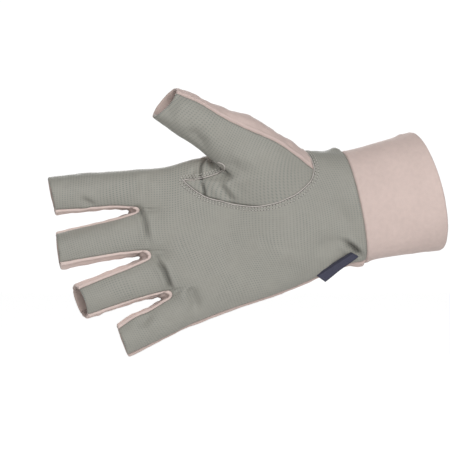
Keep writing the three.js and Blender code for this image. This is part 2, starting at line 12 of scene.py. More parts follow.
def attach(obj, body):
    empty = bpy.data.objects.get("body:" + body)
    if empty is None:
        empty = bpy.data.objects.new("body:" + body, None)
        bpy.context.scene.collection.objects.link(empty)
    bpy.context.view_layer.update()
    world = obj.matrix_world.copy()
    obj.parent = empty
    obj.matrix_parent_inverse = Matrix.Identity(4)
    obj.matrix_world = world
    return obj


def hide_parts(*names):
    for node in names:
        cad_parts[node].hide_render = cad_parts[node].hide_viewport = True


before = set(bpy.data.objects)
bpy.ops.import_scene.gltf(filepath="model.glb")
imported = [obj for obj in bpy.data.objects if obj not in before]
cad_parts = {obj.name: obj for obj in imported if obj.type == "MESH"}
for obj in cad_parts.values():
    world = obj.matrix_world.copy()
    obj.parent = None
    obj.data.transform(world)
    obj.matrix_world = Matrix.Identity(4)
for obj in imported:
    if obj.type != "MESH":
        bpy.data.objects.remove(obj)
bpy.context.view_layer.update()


# Studio: the glove hangs upright, palm to the camera, over a plain pale floor in soft light.
# The camera stands 0.9 m in front of the middle of the glove and looks straight at the palm.
CAMERA_PLACE = (-0.10945, -0.9, -0.018425)
LENS_MM = 130.9
FLOOR_HEIGHT = -0.22

scene = bpy.context.scene
scene.view_settings.view_transform = "Standard"
camera_data = bpy.data.cameras.new("photo_camera")
camera_data.lens = LENS_MM
camera = bpy.data.objects.new("photo_camera", camera_data)
camera.location = CAMERA_PLACE
camera.rotation_euler = (math.pi / 2, 0, 0)
scene.collection.objects.link(camera)
scene.camera = camera


def add_node(tree, kind, inputs=None, **settings):
    """A shader node with its settings and the values or links of its inputs."""
    made = tree.nodes.new(kind)
    for name, value in settings.items():
        setattr(made, name, value)
    for name, value in (inputs or {}).items():
        if isinstance(value, bpy.types.NodeSocket):
            tree.links.new(value, made.inputs[name])
        else:
            made.inputs[name].default_value = value
    return made


def new_material(name, constants):
    """A material with constants on its shader, with its node tree and its shader."""
    material = bpy.data.materials.new(name)
    material.use_nodes = True
    shader = material.node_tree.nodes["Principled BSDF"]
    for label, value in constants.items():
        shader.inputs[label].default_value = value
    return material, material.node_tree, shader


# The square soft boxes: their places, their sides in metres and their powers in watts
LIT_POINT = Vector((-0.1, 0, -0.02))
SOFT_BOXES = (
    ("key_box", (0.2, -1.15, 0.5), 0.7, 9.7),
    ("fill_box", (-0.8, -0.8, 0.1), 0.9, 1.6),
    ("back_box", (-0.3, 1.1, 0.6), 0.9, 12.0),
)
for name, place, side, power in SOFT_BOXES:
    light = bpy.data.lights.new(name, "AREA")
    light.size = side
    light.energy = power
    lamp = bpy.data.objects.new(name, light)
    lamp.location = place
    lamp.rotation_euler = (LIT_POINT - Vector(place)).to_track_quat("-Z", "Y").to_euler()
    scene.collection.objects.link(lamp)

# The white room shines more into the camera than on the glove
SEEN_STRENGTH, LIT_STRENGTH = 1.05, 0.225
WHITE = (1, 1, 1, 1)
world = bpy.data.worlds.new("white_studio")
scene.world = world
world.use_nodes = True
sky = world.node_tree
sky.nodes.clear()
seen = add_node(sky, "ShaderNodeBackground", {"Color": WHITE, "Strength": SEEN_STRENGTH}).outputs[0]
lit_by = add_node(sky, "ShaderNodeBackground", {"Color": WHITE, "Strength": LIT_STRENGTH}).outputs[0]
to_camera = add_node(sky, "ShaderNodeLightPath").outputs["Is Camera Ray"]
room = add_node(sky, "ShaderNodeMixShader", {0: to_camera, 1: lit_by, 2: seen})
add_node(sky, "ShaderNodeOutputWorld", {"Surface": room.outputs[0]})

FLOOR_REACH = 4.0
floor_mesh = bpy.data.meshes.new("floor")
corners = [(x * FLOOR_REACH, y * FLOOR_REACH, FLOOR_HEIGHT) for x, y in ((-1, -1), (1, -1), (1, 1), (-1, 1))]
floor_mesh.from_pydata(corners, [], [(0, 1, 2, 3)])
floor = bpy.data.objects.new("floor", floor_mesh)
scene.collection.objects.link(floor)
paper, paper_tree, paper_shader = new_material(
    "studio_paper", {"Base Color": (0.85, 0.85, 0.85, 1), "Roughness": 0.9, "Emission Strength": 0.8}
)
glow = add_node(paper_tree, "ShaderNodeLightPath").outputs["Is Camera Ray"]
paper_tree.links.new(glow, paper_shader.inputs["Emission Color"])
floor_mesh.materials.append(paper)


# Palm panel: one cut of thin embossed synthetic leather from the wrist to the finger openings.
# It is lofted through sections of the glove, in millimetres, and has the creases that bending leaves.
def table(columns, rows):
    """Rows of values under the names of their columns."""
    return [dict(zip(columns, row)) for row in rows]


# Sections from the wrist to the knuckles. radial and ulnar are the edges on the thumb side and the other
# side as x, z, and y is the depth of their middle. front and back are half depths, tilt leans the palm
# side to the wrist, and square is how boxy the section is: 2 is an ellipse.
RING_COLUMNS = ("radial", "ulnar", "y", "front", "back", "tilt", "square")
PALM_RINGS = table(RING_COLUMNS, [
    ((-46.3, 21.3), (-33.8, -38.3), -9, 18.5, 17.5, 10, 2.25),
    ((-62.1, 21.8), (-46.9, -41.8), -10, 16.5, 16, 7, 2.4),
    ((-81.7, 20.7), (-65.4, -49.1), -11, 15, 15, 3, 2.6),
    ((-101.3, 19.1), (-86.1, -57.8), -11, 14, 14, 1, 2.7),
    ((-120.9, 18.5), (-107.8, -65.7), -11, 13.5, 13.5, 0, 2.7),
    ((-139.3, 13.6), (-125.2, -72.5), -11.5, 12.5, 12.5, 0, 2.6),
])
# palm is a finger's share of the palm's section in degrees, and base and tip its four side seams:
# front radial, front ulnar, back ulnar, back radial. Half depths are the same front and back.
FINGERS = [
    {
        "palm": (-8, 65), "base": (-8, 143, 222, -8), "tip": (-8, 143, 222, -8),
        "radial": [(-157.2, 11.7), (-171.1, 10.5), (-186.1, 9.5), (-203.9, 7.2)],
        "ulnar": [(-158.8, -10.7), (-171.1, -10.2), (-184.5, -11.7), (-199.7, -12.5)],
        "y": (-13, -15, -17, -19.5), "half": (10.3, 9.6, 9.3, 8.8), "tilt": (3, 7, 9, 9),
    },
    {
        "palm": (68.5, 90), "base": (34, 136, 226, -44), "tip": (8, 128, 222, -34),
        "radial": [(-158.8, -10.7), (-170.6, -14.9), (-186.1, -19.0), (-199.6, -22.9)],
        "ulnar": [(-152.3, -35.2), (-166.5, -36.8), (-181.8, -39.6), (-197.2, -42.1)],
        "y": (-13, -15, -17, -19.5), "half": (10.6, 9.9, 9.4, 8.9), "tilt": (3, 7, 9, 9),
    },
    {
        "palm": (92, 113), "base": (40, 138, 224, -42), "tip": (46, 146, 222, -38),
        "radial": [(-152.3, -35.2), (-164.6, -40.3), (-177.4, -45.0), (-189.9, -50.2)],
        "ulnar": [(-140.6, -56.6), (-158.7, -60.9), (-171.5, -64.8), (-183.2, -68.5)],
        "y": (-13, -15, -17, -19), "half": (10.3, 9.6, 9.2, 8.7), "tilt": (3, 7, 9, 22),
    },
    {
        "palm": (116.5, 164), "base": (38, 158, 158, -40), "tip": (38, 150, 150, -38),
        "radial": [(-140.6, -56.6), (-152.2, -63.2), (-160.2, -66.8), (-167.3, -71.8)],
        "ulnar": [(-130.6, -74.3), (-144.1, -81.2), (-152.7, -85.4), (-160.7, -89.2)],
        "y": (-13, -14.5, -16, -17.5), "half": (9.4, 8.7, 8.4, 8.0), "tilt": (3, 6, 8, 8),
    },
]
FINGER_SQUARE = (2.3, 2.2, 2.1, 2.1)
# Half way between palm and back a slit's foot lies this many stations further out along the fingers, and
# the skin bends round it with this pull, in millimetres
WEB_REACH = 0.42
WEB_BEND = 2.6
# Stations count the sections: the palm's, then the feet of the fingers, then their own up to the tips
KNUCKLES = len(PALM_RINGS) - 1
FOOT = KNUCKLES + 1
TIP = FOOT + len(FINGER_SQUARE) - 1
# Grid cells along one station of the palm, of the fingers' feet and of a finger, and across a web
PALM_CELLS, FOOT_CELLS, FINGER_CELLS, WEB_CELLS = 25, 18, 20, 8
# Grid cells across a finger on the palm panel and on the back panel
PALM_COLUMNS, BACK_COLUMNS = 34, 22
LEATHER_WALL = 1.2
# The palm leans this much in the picture, and the direction across it follows
PALM_LEAN = math.radians(11)
PALM_ACROSS = np.array([-math.sin(PALM_LEAN), 0, math.cos(PALM_LEAN)])
# The pulled cloth turns its rows of dots with the height over the palm, as height and slope,
# and turns them another way near the wrist
HAND_GRAINS = (
    ((-90, 0.55), (-48, 0.55), (-14, 0.1), (2, -0.08), (60, -0.08)),
    ((-90, 0.0), (-40, 0.0), (-22, 0.2), (6, 0.5), (60, 0.5)),
)
WRIST_BLEND = (-100, -55)
# At this height the rows haven't drifted
GRAIN_LEVEL = -14


def signed_power(value, power):
    return np.sign(value) * np.abs(value) ** power


def section(ring, degrees):
    """The points at angles round a section: 0 is its radial edge, 90 the palm side, 180 the ulnar edge."""
    radial = np.array([ring["radial"][0], ring["y"], ring["radial"][1]], float)
    ulnar = np.array([ring["ulnar"][0], ring["y"], ring["ulnar"][1]], float)
    half = (ulnar - radial) / 2
    to_wrist = np.array([-half[2], 0, half[0]]) / np.hypot(half[0], half[2])
    tilt = math.radians(ring["tilt"])
    to_front = np.array([0, -math.cos(tilt), 0]) + to_wrist * math.sin(tilt)
    angle = np.radians(np.asarray(degrees, float))
    across = -signed_power(np.cos(angle), 2 / ring["square"])
    deep = signed_power(np.sin(angle), 2 / ring["square"])
    deep = deep * np.where(deep > 0, ring["front"], ring["back"])
    return (radial + ulnar) / 2 + across[..., None] * half + deep[..., None] * to_front


def along(lines, station, start=None, end=None):
    """Each of the curves through lines[k][n], read at its own station. Tangents may be given for the ends."""
    gaps = np.diff(lines, axis=0)
    lengths = np.maximum(np.linalg.norm(gaps, axis=-1, keepdims=True), 1e-9)
    slopes = gaps / lengths
    tangents = np.empty_like(lines)
    tangents[0] = slopes[0] if start is None else start
    tangents[-1] = slopes[-1] if end is None else end
    before, after = lengths[:-1], lengths[1:]
    tangents[1:-1] = (slopes[1:] * before + slopes[:-1] * after) / (before + after)
    station = np.broadcast_to(np.asarray(station, float), lines.shape[1:2])
    i = np.clip(np.floor(station).astype(int), 0, len(lines) - 2)
    each = np.arange(lines.shape[1])
    t = (station - i)[:, None]
    reach = lengths[i, each]
    return (
        lines[i, each] * (2 * t**3 - 3 * t**2 + 1)
        + tangents[i, each] * reach * (t**3 - 2 * t**2 + t)
        + lines[i + 1, each] * (3 * t**2 - 2 * t**3)
        + tangents[i + 1, each] * reach * (t**3 - t**2)
    )


def unit(vectors):
    return vectors / np.maximum(np.linalg.norm(vectors, axis=-1, keepdims=True), 1e-9)


def palm_point(station, degrees):
    """The palm's own surface at stations along its sections and angles round them."""
    return along(np.stack([section(ring, degrees) for ring in PALM_RINGS]), station)


def finger_lines(index, seams, share):
    """A finger's lines, a share of the way round it from one of its side seams to another."""
    finger = FINGERS[index]
    lines = []
    for i, square in enumerate(FINGER_SQUARE):
        ring = {
            "radial": finger["radial"][i], "ulnar": finger["ulnar"][i], "y": finger["y"][i],
            "front": finger["half"][i], "back": finger["half"][i],
            "tilt": finger["tilt"][i], "square": square,
        }
        rise = i / (len(FINGER_SQUARE) - 1)
        first, last = (finger["base"][s] + (finger["tip"][s] - finger["base"][s]) * rise for s in seams)
        if seams == (3, 2):
            last -= 360
        lines.append(section(ring, first + (last - first) * np.asarray(share, float)))
    return np.stack(lines)


def slit_sides(index, depth):
    """The two sides of the slit after a finger, from the palm's seam at depth 0 to the back's at 1."""
    near = finger_lines(index, (1, 2), depth)
    far = finger_lines(index + 1, (0, 3), depth)
    return near, far, WEB_REACH * 4 * depth * (1 - depth)


def slit_bend(index, depth, share):
    """The skin round the foot of a slit, from one finger's base to the next one's."""
    near, far, start = slit_sides(index, depth)
    ends = along(near, start), along(far, start)
    pull = WEB_BEND * 4 / 3
    inner = ends[0] + unit(near[0] - near[1]) * pull, ends[1] + unit(far[0] - far[1]) * pull
    points = [ends[0], *inner, ends[1]]
    share = np.broadcast_to(np.asarray(share, float), depth.shape)[:, None]
    weights = (1 - share) ** 3, 3 * (1 - share) ** 2 * share, 3 * (1 - share) * share**2, share**3
    return sum(weight * point for weight, point in zip(weights, points))


def hand_columns(finger_cells):
    """The columns of a hand panel as a finger, or the web after one, and a share of the way across it."""
    rows = []
    for index in range(len(FINGERS)):
        rows += [(index, 0, i / finger_cells) for i in range(finger_cells + 1)]
        if index < len(FINGERS) - 1:
            rows += [(index, 1, i / WEB_CELLS) for i in range(1, WEB_CELLS)]
    index, web, share = np.array(rows).T
    return index.astype(int), web.astype(bool), share


def palm_angles(columns, is_back):
    """The angle of each column round the palm. The back panel mirrors the palm panel's."""
    index, web, share = columns
    edges = np.array([finger["palm"] for finger in FINGERS], float)
    following = np.minimum(index + 1, len(FINGERS) - 1)
    first = np.where(web, edges[index, 1], edges[index, 0])
    last = np.where(web, edges[following, 0], edges[index, 1])
    angles = first + (last - first) * share
    low, high = edges[0, 0], edges[-1, 1]
    return low + (high - 360 - low) * (angles - low) / (high - low) if is_back else angles


def steps(first, last, count):
    return np.linspace(first, last, count + 1)


HAND_ROWS = np.concatenate([
    steps(0, KNUCKLES, KNUCKLES * PALM_CELLS),
    steps(KNUCKLES, FOOT, FOOT_CELLS)[1:],
    steps(FOOT, TIP, (TIP - FOOT) * FINGER_CELLS)[1:],
])


def grid_faces(rows, columns, turned, left_out=None):
    """The quads of a grid of points, as rows of point numbers."""
    corner = (np.arange(rows - 1)[:, None] * columns + np.arange(columns - 1)).ravel()
    faces = np.stack([corner, corner + columns, corner + columns + 1, corner + 1], axis=1)
    if left_out is not None:
        faces = faces[~left_out.ravel()]
    return faces[:, ::-1] if turned else faces


def flat_across(points):
    """How far each point of each row lies from the row's middle, over the cloth."""
    middle = points.shape[1] // 2
    step = np.linalg.norm(np.diff(points, axis=1), axis=2)
    far = np.concatenate([np.zeros((len(points), 1)), np.cumsum(step, axis=1)], axis=1)
    return far - far[:, middle:middle + 1]


def along_grain(points, grains):
    """How far along the cloth each point lies, on rows that turn with its height."""
    heights = np.arange(-110.0, 80.0)
    drifts = []
    for grain in grains:
        drift = np.cumsum(np.interp(heights, *np.transpose(grain)))
        drifts.append(np.interp(points[:, 2], heights, drift - np.interp(GRAIN_LEVEL, heights, drift)))
    near_wrist = smooth_share(points[:, 0], *WRIST_BLEND)
    return points[:, 0] + drifts[0] + near_wrist * (drifts[-1] - drifts[0])


def hand_skin(is_back, finger_cells):
    """The outer skin of a hand panel: a grid of points, with its faces, hems and place on the cut cloth."""
    columns = hand_columns(finger_cells)
    index, web, share = columns
    angles = palm_angles(columns, is_back)
    palm = np.stack([section(ring, angles) for ring in PALM_RINGS])
    fingers = np.zeros((len(FINGER_SQUARE), len(index), 3))
    foot = np.zeros((len(index), 3))
    heading = np.zeros((len(index), 3))
    seams = (3, 2) if is_back else (0, 1)
    for i in range(len(FINGERS)):
        own = (index == i) & ~web
        fingers[:, own] = finger_lines(i, seams, share[own])
        foot[own] = fingers[0, own]
        heading[own] = unit(fingers[1, own] - fingers[0, own])
        between = (index == i) & web
        if between.any():
            near, far = (
                unit(np.diff(finger_lines(j, seams, [s])[:2], axis=0)[0, 0])
                for j, s in ((i, 1), (i + 1, 0))
            )
            depth = np.full(between.sum(), float(is_back))
            foot[between] = slit_bend(i, depth, share[between])
            heading[between] = near + (far - near) * share[between][:, None]
    rise = unit(palm[-1] - palm[-2])
    rows = []
    for station in HAND_ROWS:
        if station <= KNUCKLES:
            rows.append(along(palm, station))
        elif station <= FOOT:
            rows.append(along(np.stack([palm[-1], foot]), station - KNUCKLES, rise, heading))
        else:
            rows.append(along(fingers, station - FOOT))
    points = np.stack(rows)
    slit = web[:-1] | web[1:] | (index[:-1] != index[1:])
    left_out = (HAND_ROWS[:-1, None] >= FOOT) & slit[None]
    across = flat_across(points)
    planar = points @ PALM_ACROSS
    sense = np.sign(across[0, -1] - across[0, 0]) * np.sign(planar[0, -1] - planar[0, 0])
    knuckle = int(np.searchsorted(HAND_ROWS, KNUCKLES))
    for i in range(len(FINGERS)):
        own = np.flatnonzero((index == i) & ~web)
        middle = own[len(own) // 2]
        drift = planar[knuckle:, middle] - planar[knuckle, middle]
        centre = across[knuckle, middle] + sense * drift
        across[knuckle:, own] = across[knuckle:, own] - across[knuckle:, [middle]] + centre[:, None]
    return {
        "points": points.reshape(-1, 3),
        "faces": grid_faces(len(HAND_ROWS), len(index), is_back, left_out),
        "hem": np.repeat(HAND_ROWS == TIP, len(index)),
        "places": np.stack([np.repeat(HAND_ROWS, len(index)), np.tile(angles, len(HAND_ROWS))], axis=1),
        "cloth": np.stack([along_grain(points.reshape(-1, 3), HAND_GRAINS), across.ravel()], axis=1),
        "angles": angles,
    }


# The seam that sets the thumb into the panels: where each angle of the thumb meets the palm's surface,
# as an angle of the thumb, a station along the palm and an angle round it
THUMB_SEAM = np.array([
    (-10, 1.35, -8), (5, 1.24, 9), (20, 1.18, 25), (35, 1.16, 39), (50, 1.18, 52), (64, 1.28, 62),
    (78, 1.6, 73), (92, 2.13, 79.8), (106, 2.67, 80.9), (120, 3.2, 78), (134, 3.72, 73), (147, 4.15, 66.3),
    (158, 4.45, 57), (166, 4.67, 45.4), (173, 4.24, 48.5), (182, 3.9, 48), (190, 3.65, 44.5), (197, 3.49, 38),
    (205, 3.55, 29), (216, 3.8, 12), (228, 3.92, -8), (246, 3.72, -20), (268, 3.2, -27), (298, 2.4, -28),
    (325, 1.75, -21), (350, 1.35, -8),
])
# The seam crosses from the palm to the back panel at this angle of the thumb
CROSSING = 228
# One station and one degree of the palm are about this many millimetres. The opening is cut in that plane.
PLANE_SCALE = np.array([20, 1 / 3])
# Faces this close to the seam go. It is tried at so many places between two of its points.
OPENING_MARGIN, SEAM_SAMPLES = 0.15, 8
# Grid cells along the seam for each row of its table
THUMB_CELLS = 9
SEAM_START, SEAM_END = THUMB_SEAM[0, 0], THUMB_SEAM[-1, 0]


def thumb_seam_at(turn):
    """The palm's station and angle on the thumb seam at angles of the thumb."""
    turn = np.asarray(turn, float)
    i = np.clip(np.searchsorted(THUMB_SEAM[:, 0], turn + 1e-9, side="right") - 1, 0, len(THUMB_SEAM) - 2)
    share = (turn - THUMB_SEAM[i, 0]) / (THUMB_SEAM[i + 1, 0] - THUMB_SEAM[i, 0])
    flat = np.column_stack([THUMB_SEAM[:, 1:] * PLANE_SCALE, np.zeros(len(THUMB_SEAM))])
    lines = np.repeat(flat[:, None], len(turn), axis=1)
    return along(lines, i + np.clip(share, 0, 1))[:, :2] / PLANE_SCALE


def thumb_turns(first, last):
    """The angles of the thumb between two rows of its seam table, each row cut into cells."""
    rows = np.concatenate([THUMB_SEAM[:-1, 0], THUMB_SEAM[:-1, 0] + 360])
    rows = rows[(rows >= first) & (rows <= last)]
    cuts = [steps(a, b, THUMB_CELLS)[:-1] for a, b in zip(rows[:-1], rows[1:])]
    return np.concatenate([*cuts, [rows[-1]]])


def inside_loop(loop, points):
    """Which points lie inside a closed loop in the plane."""
    odd = np.zeros(len(points), bool)
    for a, b in zip(loop, np.roll(loop, -1, axis=0)):
        spans = (a[1] > points[:, 1]) != (b[1] > points[:, 1])
        with np.errstate(divide="ignore", invalid="ignore"):
            crossing = a[0] + (points[:, 1] - a[1]) * (b[0] - a[0]) / (b[1] - a[1])
        odd ^= spans & (points[:, 0] < crossing)
    return odd


def faces_at_seam(skin, seam):
    """Which faces of a hand panel the thumb's seam touches or holds."""
    corners = (skin["places"] * PLANE_SCALE)[skin["faces"]]
    low = corners.min(axis=1) - OPENING_MARGIN
    high = corners.max(axis=1) + OPENING_MARGIN
    close = ((high > seam.min(axis=0)) & (low < seam.max(axis=0))).all(axis=1)
    taken = close & inside_loop(seam, corners.mean(axis=1))
    shares = np.arange(SEAM_SAMPLES)[:, None, None] / SEAM_SAMPLES
    on_seam = (seam[:-1] * (1 - shares) + seam[1:] * shares).reshape(-1, 2)
    for n in np.flatnonzero(close):
        taken[n] |= ((on_seam > low[n]) & (on_seam < high[n])).all(axis=1).any()
    return taken


def opening_outline(gone, left):
    """The chain of points between the faces that are gone and those that are left."""
    kept = {(j, i) for face in left for i, j in zip(face, np.roll(face, -1))}
    following = {i: j for face in gone for i, j in zip(face, np.roll(face, -1)) if (i, j) in kept}
    outline = [next(i for i in following if i not in following.values())]
    while outline[-1] in following:
        outline.append(following[outline[-1]])
    return outline


def cloth_across(skin, places):
    """How far across the cloth some places of a hand panel lie, read between the columns of its grid."""
    order = np.argsort(skin["angles"])
    column = np.interp(places[:, 1], skin["angles"][order], order)
    row = np.interp(places[:, 0], HAND_ROWS, np.arange(len(HAND_ROWS)))
    width = len(skin["angles"])
    across = skin["cloth"][:, 1].reshape(-1, width)
    r = np.floor(row).astype(int)
    c = np.clip(np.floor(column).astype(int), 0, width - 2)
    return across[r, c] * (c + 1 - column) + across[r, c + 1] * (column - c)


def open_for_thumb(skin, first, last):
    """Cuts the thumb's opening: the faces that the seam touches or holds go, and new ones run up to it."""
    taken = faces_at_seam(skin, thumb_seam_at(thumb_turns(SEAM_START, SEAM_END)) * PLANE_SCALE)
    left = skin["faces"][~taken]
    outline = opening_outline(skin["faces"][taken], left)
    places = thumb_seam_at(thumb_turns(first, last))
    points = palm_point(places[:, 0], places[:, 1])
    outline += range(len(skin["points"]), len(skin["points"]) + len(points))
    added = {
        "points": points,
        "places": places,
        "cloth": np.stack([along_grain(points, HAND_GRAINS), cloth_across(skin, places)], axis=1),
        "hem": np.zeros(len(points), bool),
    }
    for label, values in added.items():
        skin[label] = np.concatenate([skin[label], values])
    ring = [Vector(p) for p in (skin["places"][outline] * PLANE_SCALE).tolist()]
    _, _, faces, sources, *_ = delaunay_2d_cdt(ring, [], [list(range(len(ring)))], 1, 1e-7)
    fill = [[outline[sources[i][0]] for i in face] for face in faces]
    skin["faces"] = left.tolist() + fill
    return skin


# Creases of the worn leather: how wide and deep each groove is, how far its lips puff up, over which
# shares of its length it fades in and out, and its path as x, z. A ridge has a negative depth.
CREASE_COLUMNS = ("width", "depth", "lip", "fade", "path")
EVEN_FADE = (0.4, 0.4)
PALM_CREASES = table(CREASE_COLUMNS, [
    # The bases of the middle, ring and little fingers
    (1.3, 2.5, 0.9, (0.15, 0.5), [
        (-156.2, -9.0), (-153.3, -13.6), (-151.7, -19.0), (-151.0, -24.0), (-150.1, -30.5),
    ]),
    (1.3, 2.7, 0.9, (0.45, 0.12), [
        (-148.5, -33.4), (-145.3, -38.2), (-142.1, -42.5), (-140.0, -47.9), (-138.6, -53.2),
    ]),
    (2.8, 2.2, 0.6, (0.15, 0.5), [(-128.8, -52.0), (-125.8, -59.0), (-124.0, -66.6)]),
    # The index finger's base and edge, and the bend of the little finger
    (2.6, 1.1, 0.5, EVEN_FADE, [(-152.5, 9.5), (-152.9, 3.0), (-154.6, -5.0)]),
    (1.7, 1.7, 0.5, EVEN_FADE, [(-187.0, -3.5), (-183.0, -6.3), (-178.6, -9.2)]),
    (2.8, 1.6, 0.5, EVEN_FADE, [(-149.5, -64.5), (-152.5, -69.5), (-155.2, -74.5)]),
    # The tuck and the folds in the crotch of the thumb
    (0.8, 2.3, 0.5, (0.1, 0.05), [
        (-118.1, 18.6), (-120.7, 16.7), (-122.5, 14.0), (-122.8, 9.8), (-121.8, 3.4),
    ]),
    (1.6, 1.9, 0.5, (0.1, 0.6), [(-117.0, 18.0), (-115.6, 12.0)]),
    (1.5, 0.8, 0.3, EVEN_FADE, [(-124.5, 12.5), (-129.0, 7.0)]),
    # The fold above the label, and the slack over the heel of the palm
    (1.6, 4.0, 1.0, (0.9, 0.1), [(-50.5, -25.5), (-44.5, -28.0), (-40.5, -31.0), (-37.0, -34.5)]),
    (4.0, 1.0, 0.4, EVEN_FADE, [(-66.0, -31.0), (-56.0, -29.5), (-47.0, -26.5)]),
    (5.0, 0.9, 0.3, EVEN_FADE, [(-84.0, -44.0), (-72.0, -38.5)]),
    (4.5, 1.1, 0.4, EVEN_FADE, [(-56.0, -5.0), (-49.7, -9.9), (-44.7, -16.8), (-41.0, -21.0)]),
    # Ridges that fill the valleys of the loft to the right of the three webs
    (1.0, -0.65, 0.0, (0.1, 0.8), [(-153.6, -9.0), (-141.0, -8.8)]),
    (1.3, -0.5, 0.0, (0.1, 0.7), [(-147.5, -33.2), (-134.0, -32.6)]),
    (1.3, -0.4, 0.0, (0.1, 0.7), [(-136.5, -54.3), (-127.0, -53.6)]),
])
# A crease's taper starts this far past its ends, and its lips stand this many widths from its middle
TAPER_START, LIP_PLACE = -0.08, 1.9
# Soft swellings and hollows: a point, how far it reaches and how high it rises
MOUNDS = [
    # The heel and the hollow of the palm, and the pads under the fingers
    ((-78, -26, -34), 24, 2.6),
    ((-108, -25, -24), 20, -2.4),
    ((-137, -25, -34), 13, 0.9),
    # The puffs at both ends of the wrist's seam, and the cuff's upper edge
    ((-50, -9, 22), 3.6, 2.4),
    ((-36.5, -9, -39), 4.5, 2.2),
    ((-14.0, -3, 31.0), 2.6, 0.6),
    # The thumb's pad and the hollow near its open end
    ((-124, -38, 38), 11, 1.0),
    ((-143, -40, 46), 9, -1.7),
    # The knuckles on the back
    ((-141, 4, -3), 9, 0.9),
    ((-138, 4, -25), 9, 0.9),
    ((-130, 4, -43), 9, 0.8),
    ((-121, 3, -61), 8, 0.7),
]


def smooth_share(value, low, high):
    """A smooth rise from 0 to 1 between two values."""
    share = np.clip((value - low) / (high - low), 0, 1)
    return share * share * (3 - 2 * share)


def bell(away, width):
    """A smooth hump: 1 in its middle, and close to nothing two widths away."""
    return np.exp(-((away / width) ** 2))


def soft_limit(away, limit, softness):
    """About 1 below a limit and about 0 above it."""
    return 1 / (1 + np.exp((away - limit) / softness))


def crease_relief(points, facing, creases):
    """How far creases make the palm side of the cloth stand out, and how sharp they are there."""
    out = np.zeros(len(points))
    sharp = np.zeros(len(points))
    flat = points[:, [0, 2]]
    for crease in creases:
        path = np.array(crease["path"])
        lengths = np.linalg.norm(np.diff(path, axis=0), axis=1)
        passed = np.concatenate([[0], np.cumsum(lengths)])
        nearest = np.full(len(points), np.inf)
        travel = np.zeros(len(points))
        for i, (start, end) in enumerate(zip(path[:-1], path[1:])):
            share = np.clip((flat - start) @ (end - start) / lengths[i] ** 2, 0, 1)
            away = np.linalg.norm(flat - start - share[:, None] * (end - start), axis=1)
            closer = away < nearest
            travel[closer] = (passed[i] + share[closer] * lengths[i]) / passed[-1]
            nearest = np.minimum(nearest, away)
        fade_in, fade_out = crease["fade"]
        taper = smooth_share(travel, TAPER_START, fade_in) * smooth_share(1 - travel, TAPER_START, fade_out)
        away = nearest / crease["width"]
        rise = crease["lip"] * bell(away - LIP_PLACE, 1) - crease["depth"] * bell(away, 1)
        out += rise * taper * facing
        sharp += rise * taper * facing / crease["width"]
    return out, sharp


def boundary(faces):
    """The directed edges that only one face has."""
    sides = {}
    for face in faces:
        for i, j in zip(face, (*face[1:], face[0])):
            if sides.pop((j, i), None) is None:
                sides[(i, j)] = True
    return np.array(list(sides))


def point_normals(points, faces):
    """The cloth's own directions at its points, from its triangles and quads."""
    quads = np.array([(*face, face[0])[:4] for face in faces])
    corners = points[quads]
    normals = np.cross(corners[:, 2] - corners[:, 0], corners[:, 3] - corners[:, 1])
    triangles = np.array([len(face) == 3 for face in faces])
    if triangles.any():
        a, b, c = (corners[triangles, k] for k in range(3))
        normals[triangles] = np.cross(b - a, c - a)
    sums = np.zeros_like(points)
    for k in range(4):
        np.add.at(sums, quads[:, k], normals)
    return unit(sums)


def distance_to(points, marks):
    """How far each point is from the nearest of some marks."""
    best = np.full(len(points), np.inf)
    for start in range(0, len(marks), 64):
        part = marks[start:start + 64]
        gap = ((points[:, None] - part[None]) ** 2).sum(axis=2).min(axis=1)
        best = np.minimum(best, gap)
    return np.sqrt(best)


def ripple(points, size, seed):
    """Smooth uneven values from about -1 to 1 over the cloth, with swells of a given size."""
    shift = Vector((seed * 17.3, seed * 5.1, seed * 9.7))
    return np.array([noise.noise(Vector(p) / size + shift) for p in points.tolist()])


def add_piece(name, positions, faces, cloth=None):
    """A smooth mesh from places in millimetres. Its map is where each place lies on the cut cloth."""
    mesh = bpy.data.meshes.new(name)
    mesh.from_pydata((np.asarray(positions) / 1000).tolist(), [], faces)
    mesh.polygons.foreach_set("use_smooth", np.ones(len(faces), bool))
    if cloth is not None:
        corner_of = np.zeros(len(mesh.loops), np.int32)
        mesh.loops.foreach_get("vertex_index", corner_of)
        layer = mesh.uv_layers.new(name="cloth_mm")
        layer.data.foreach_set("uv", (cloth[corner_of] / 100).astype(np.float32).ravel())
    piece = bpy.data.objects.new(name, mesh)
    scene.collection.objects.link(piece)
    return piece


# Beside a sewn edge the cloth rolls up, as many seam widths away and as wide as this. The thread's uneven
# pull makes the roll higher and lower by a share, over this length.
ROLL_PLACE, ROLL_SPREAD = 2.2, 1.1
PULL_SHARE, PULL_LENGTH = 0.5, 4.5
# Long and short ripples of slack cloth. The long ones, and the rise of a hem, die out this close to a seam.
LONG_RIPPLE, SHORT_RIPPLE = 9.0, 4.0
RIPPLE_CALM, HEM_CALM = 3.0, 2.0
# A hem is turned in: how deep, how far it stands out, how much thicker it is, and how softly it ends on
# the face and on the lining. Its rim is rounded at these angles.
HEM_DEPTH, HEM_RISE, HEM_EXTRA = 7.0, 0.22, 0.8
FACE_SOFTNESS, LINING_SOFTNESS = 0.35, 0.3
LIP_ANGLES = (45, 90, 135)
# How far from a hem a piece lies that has none
NO_HEM = 99.0
# The cloth pieces so far, with what draws their sewn edges together
SEWN = []


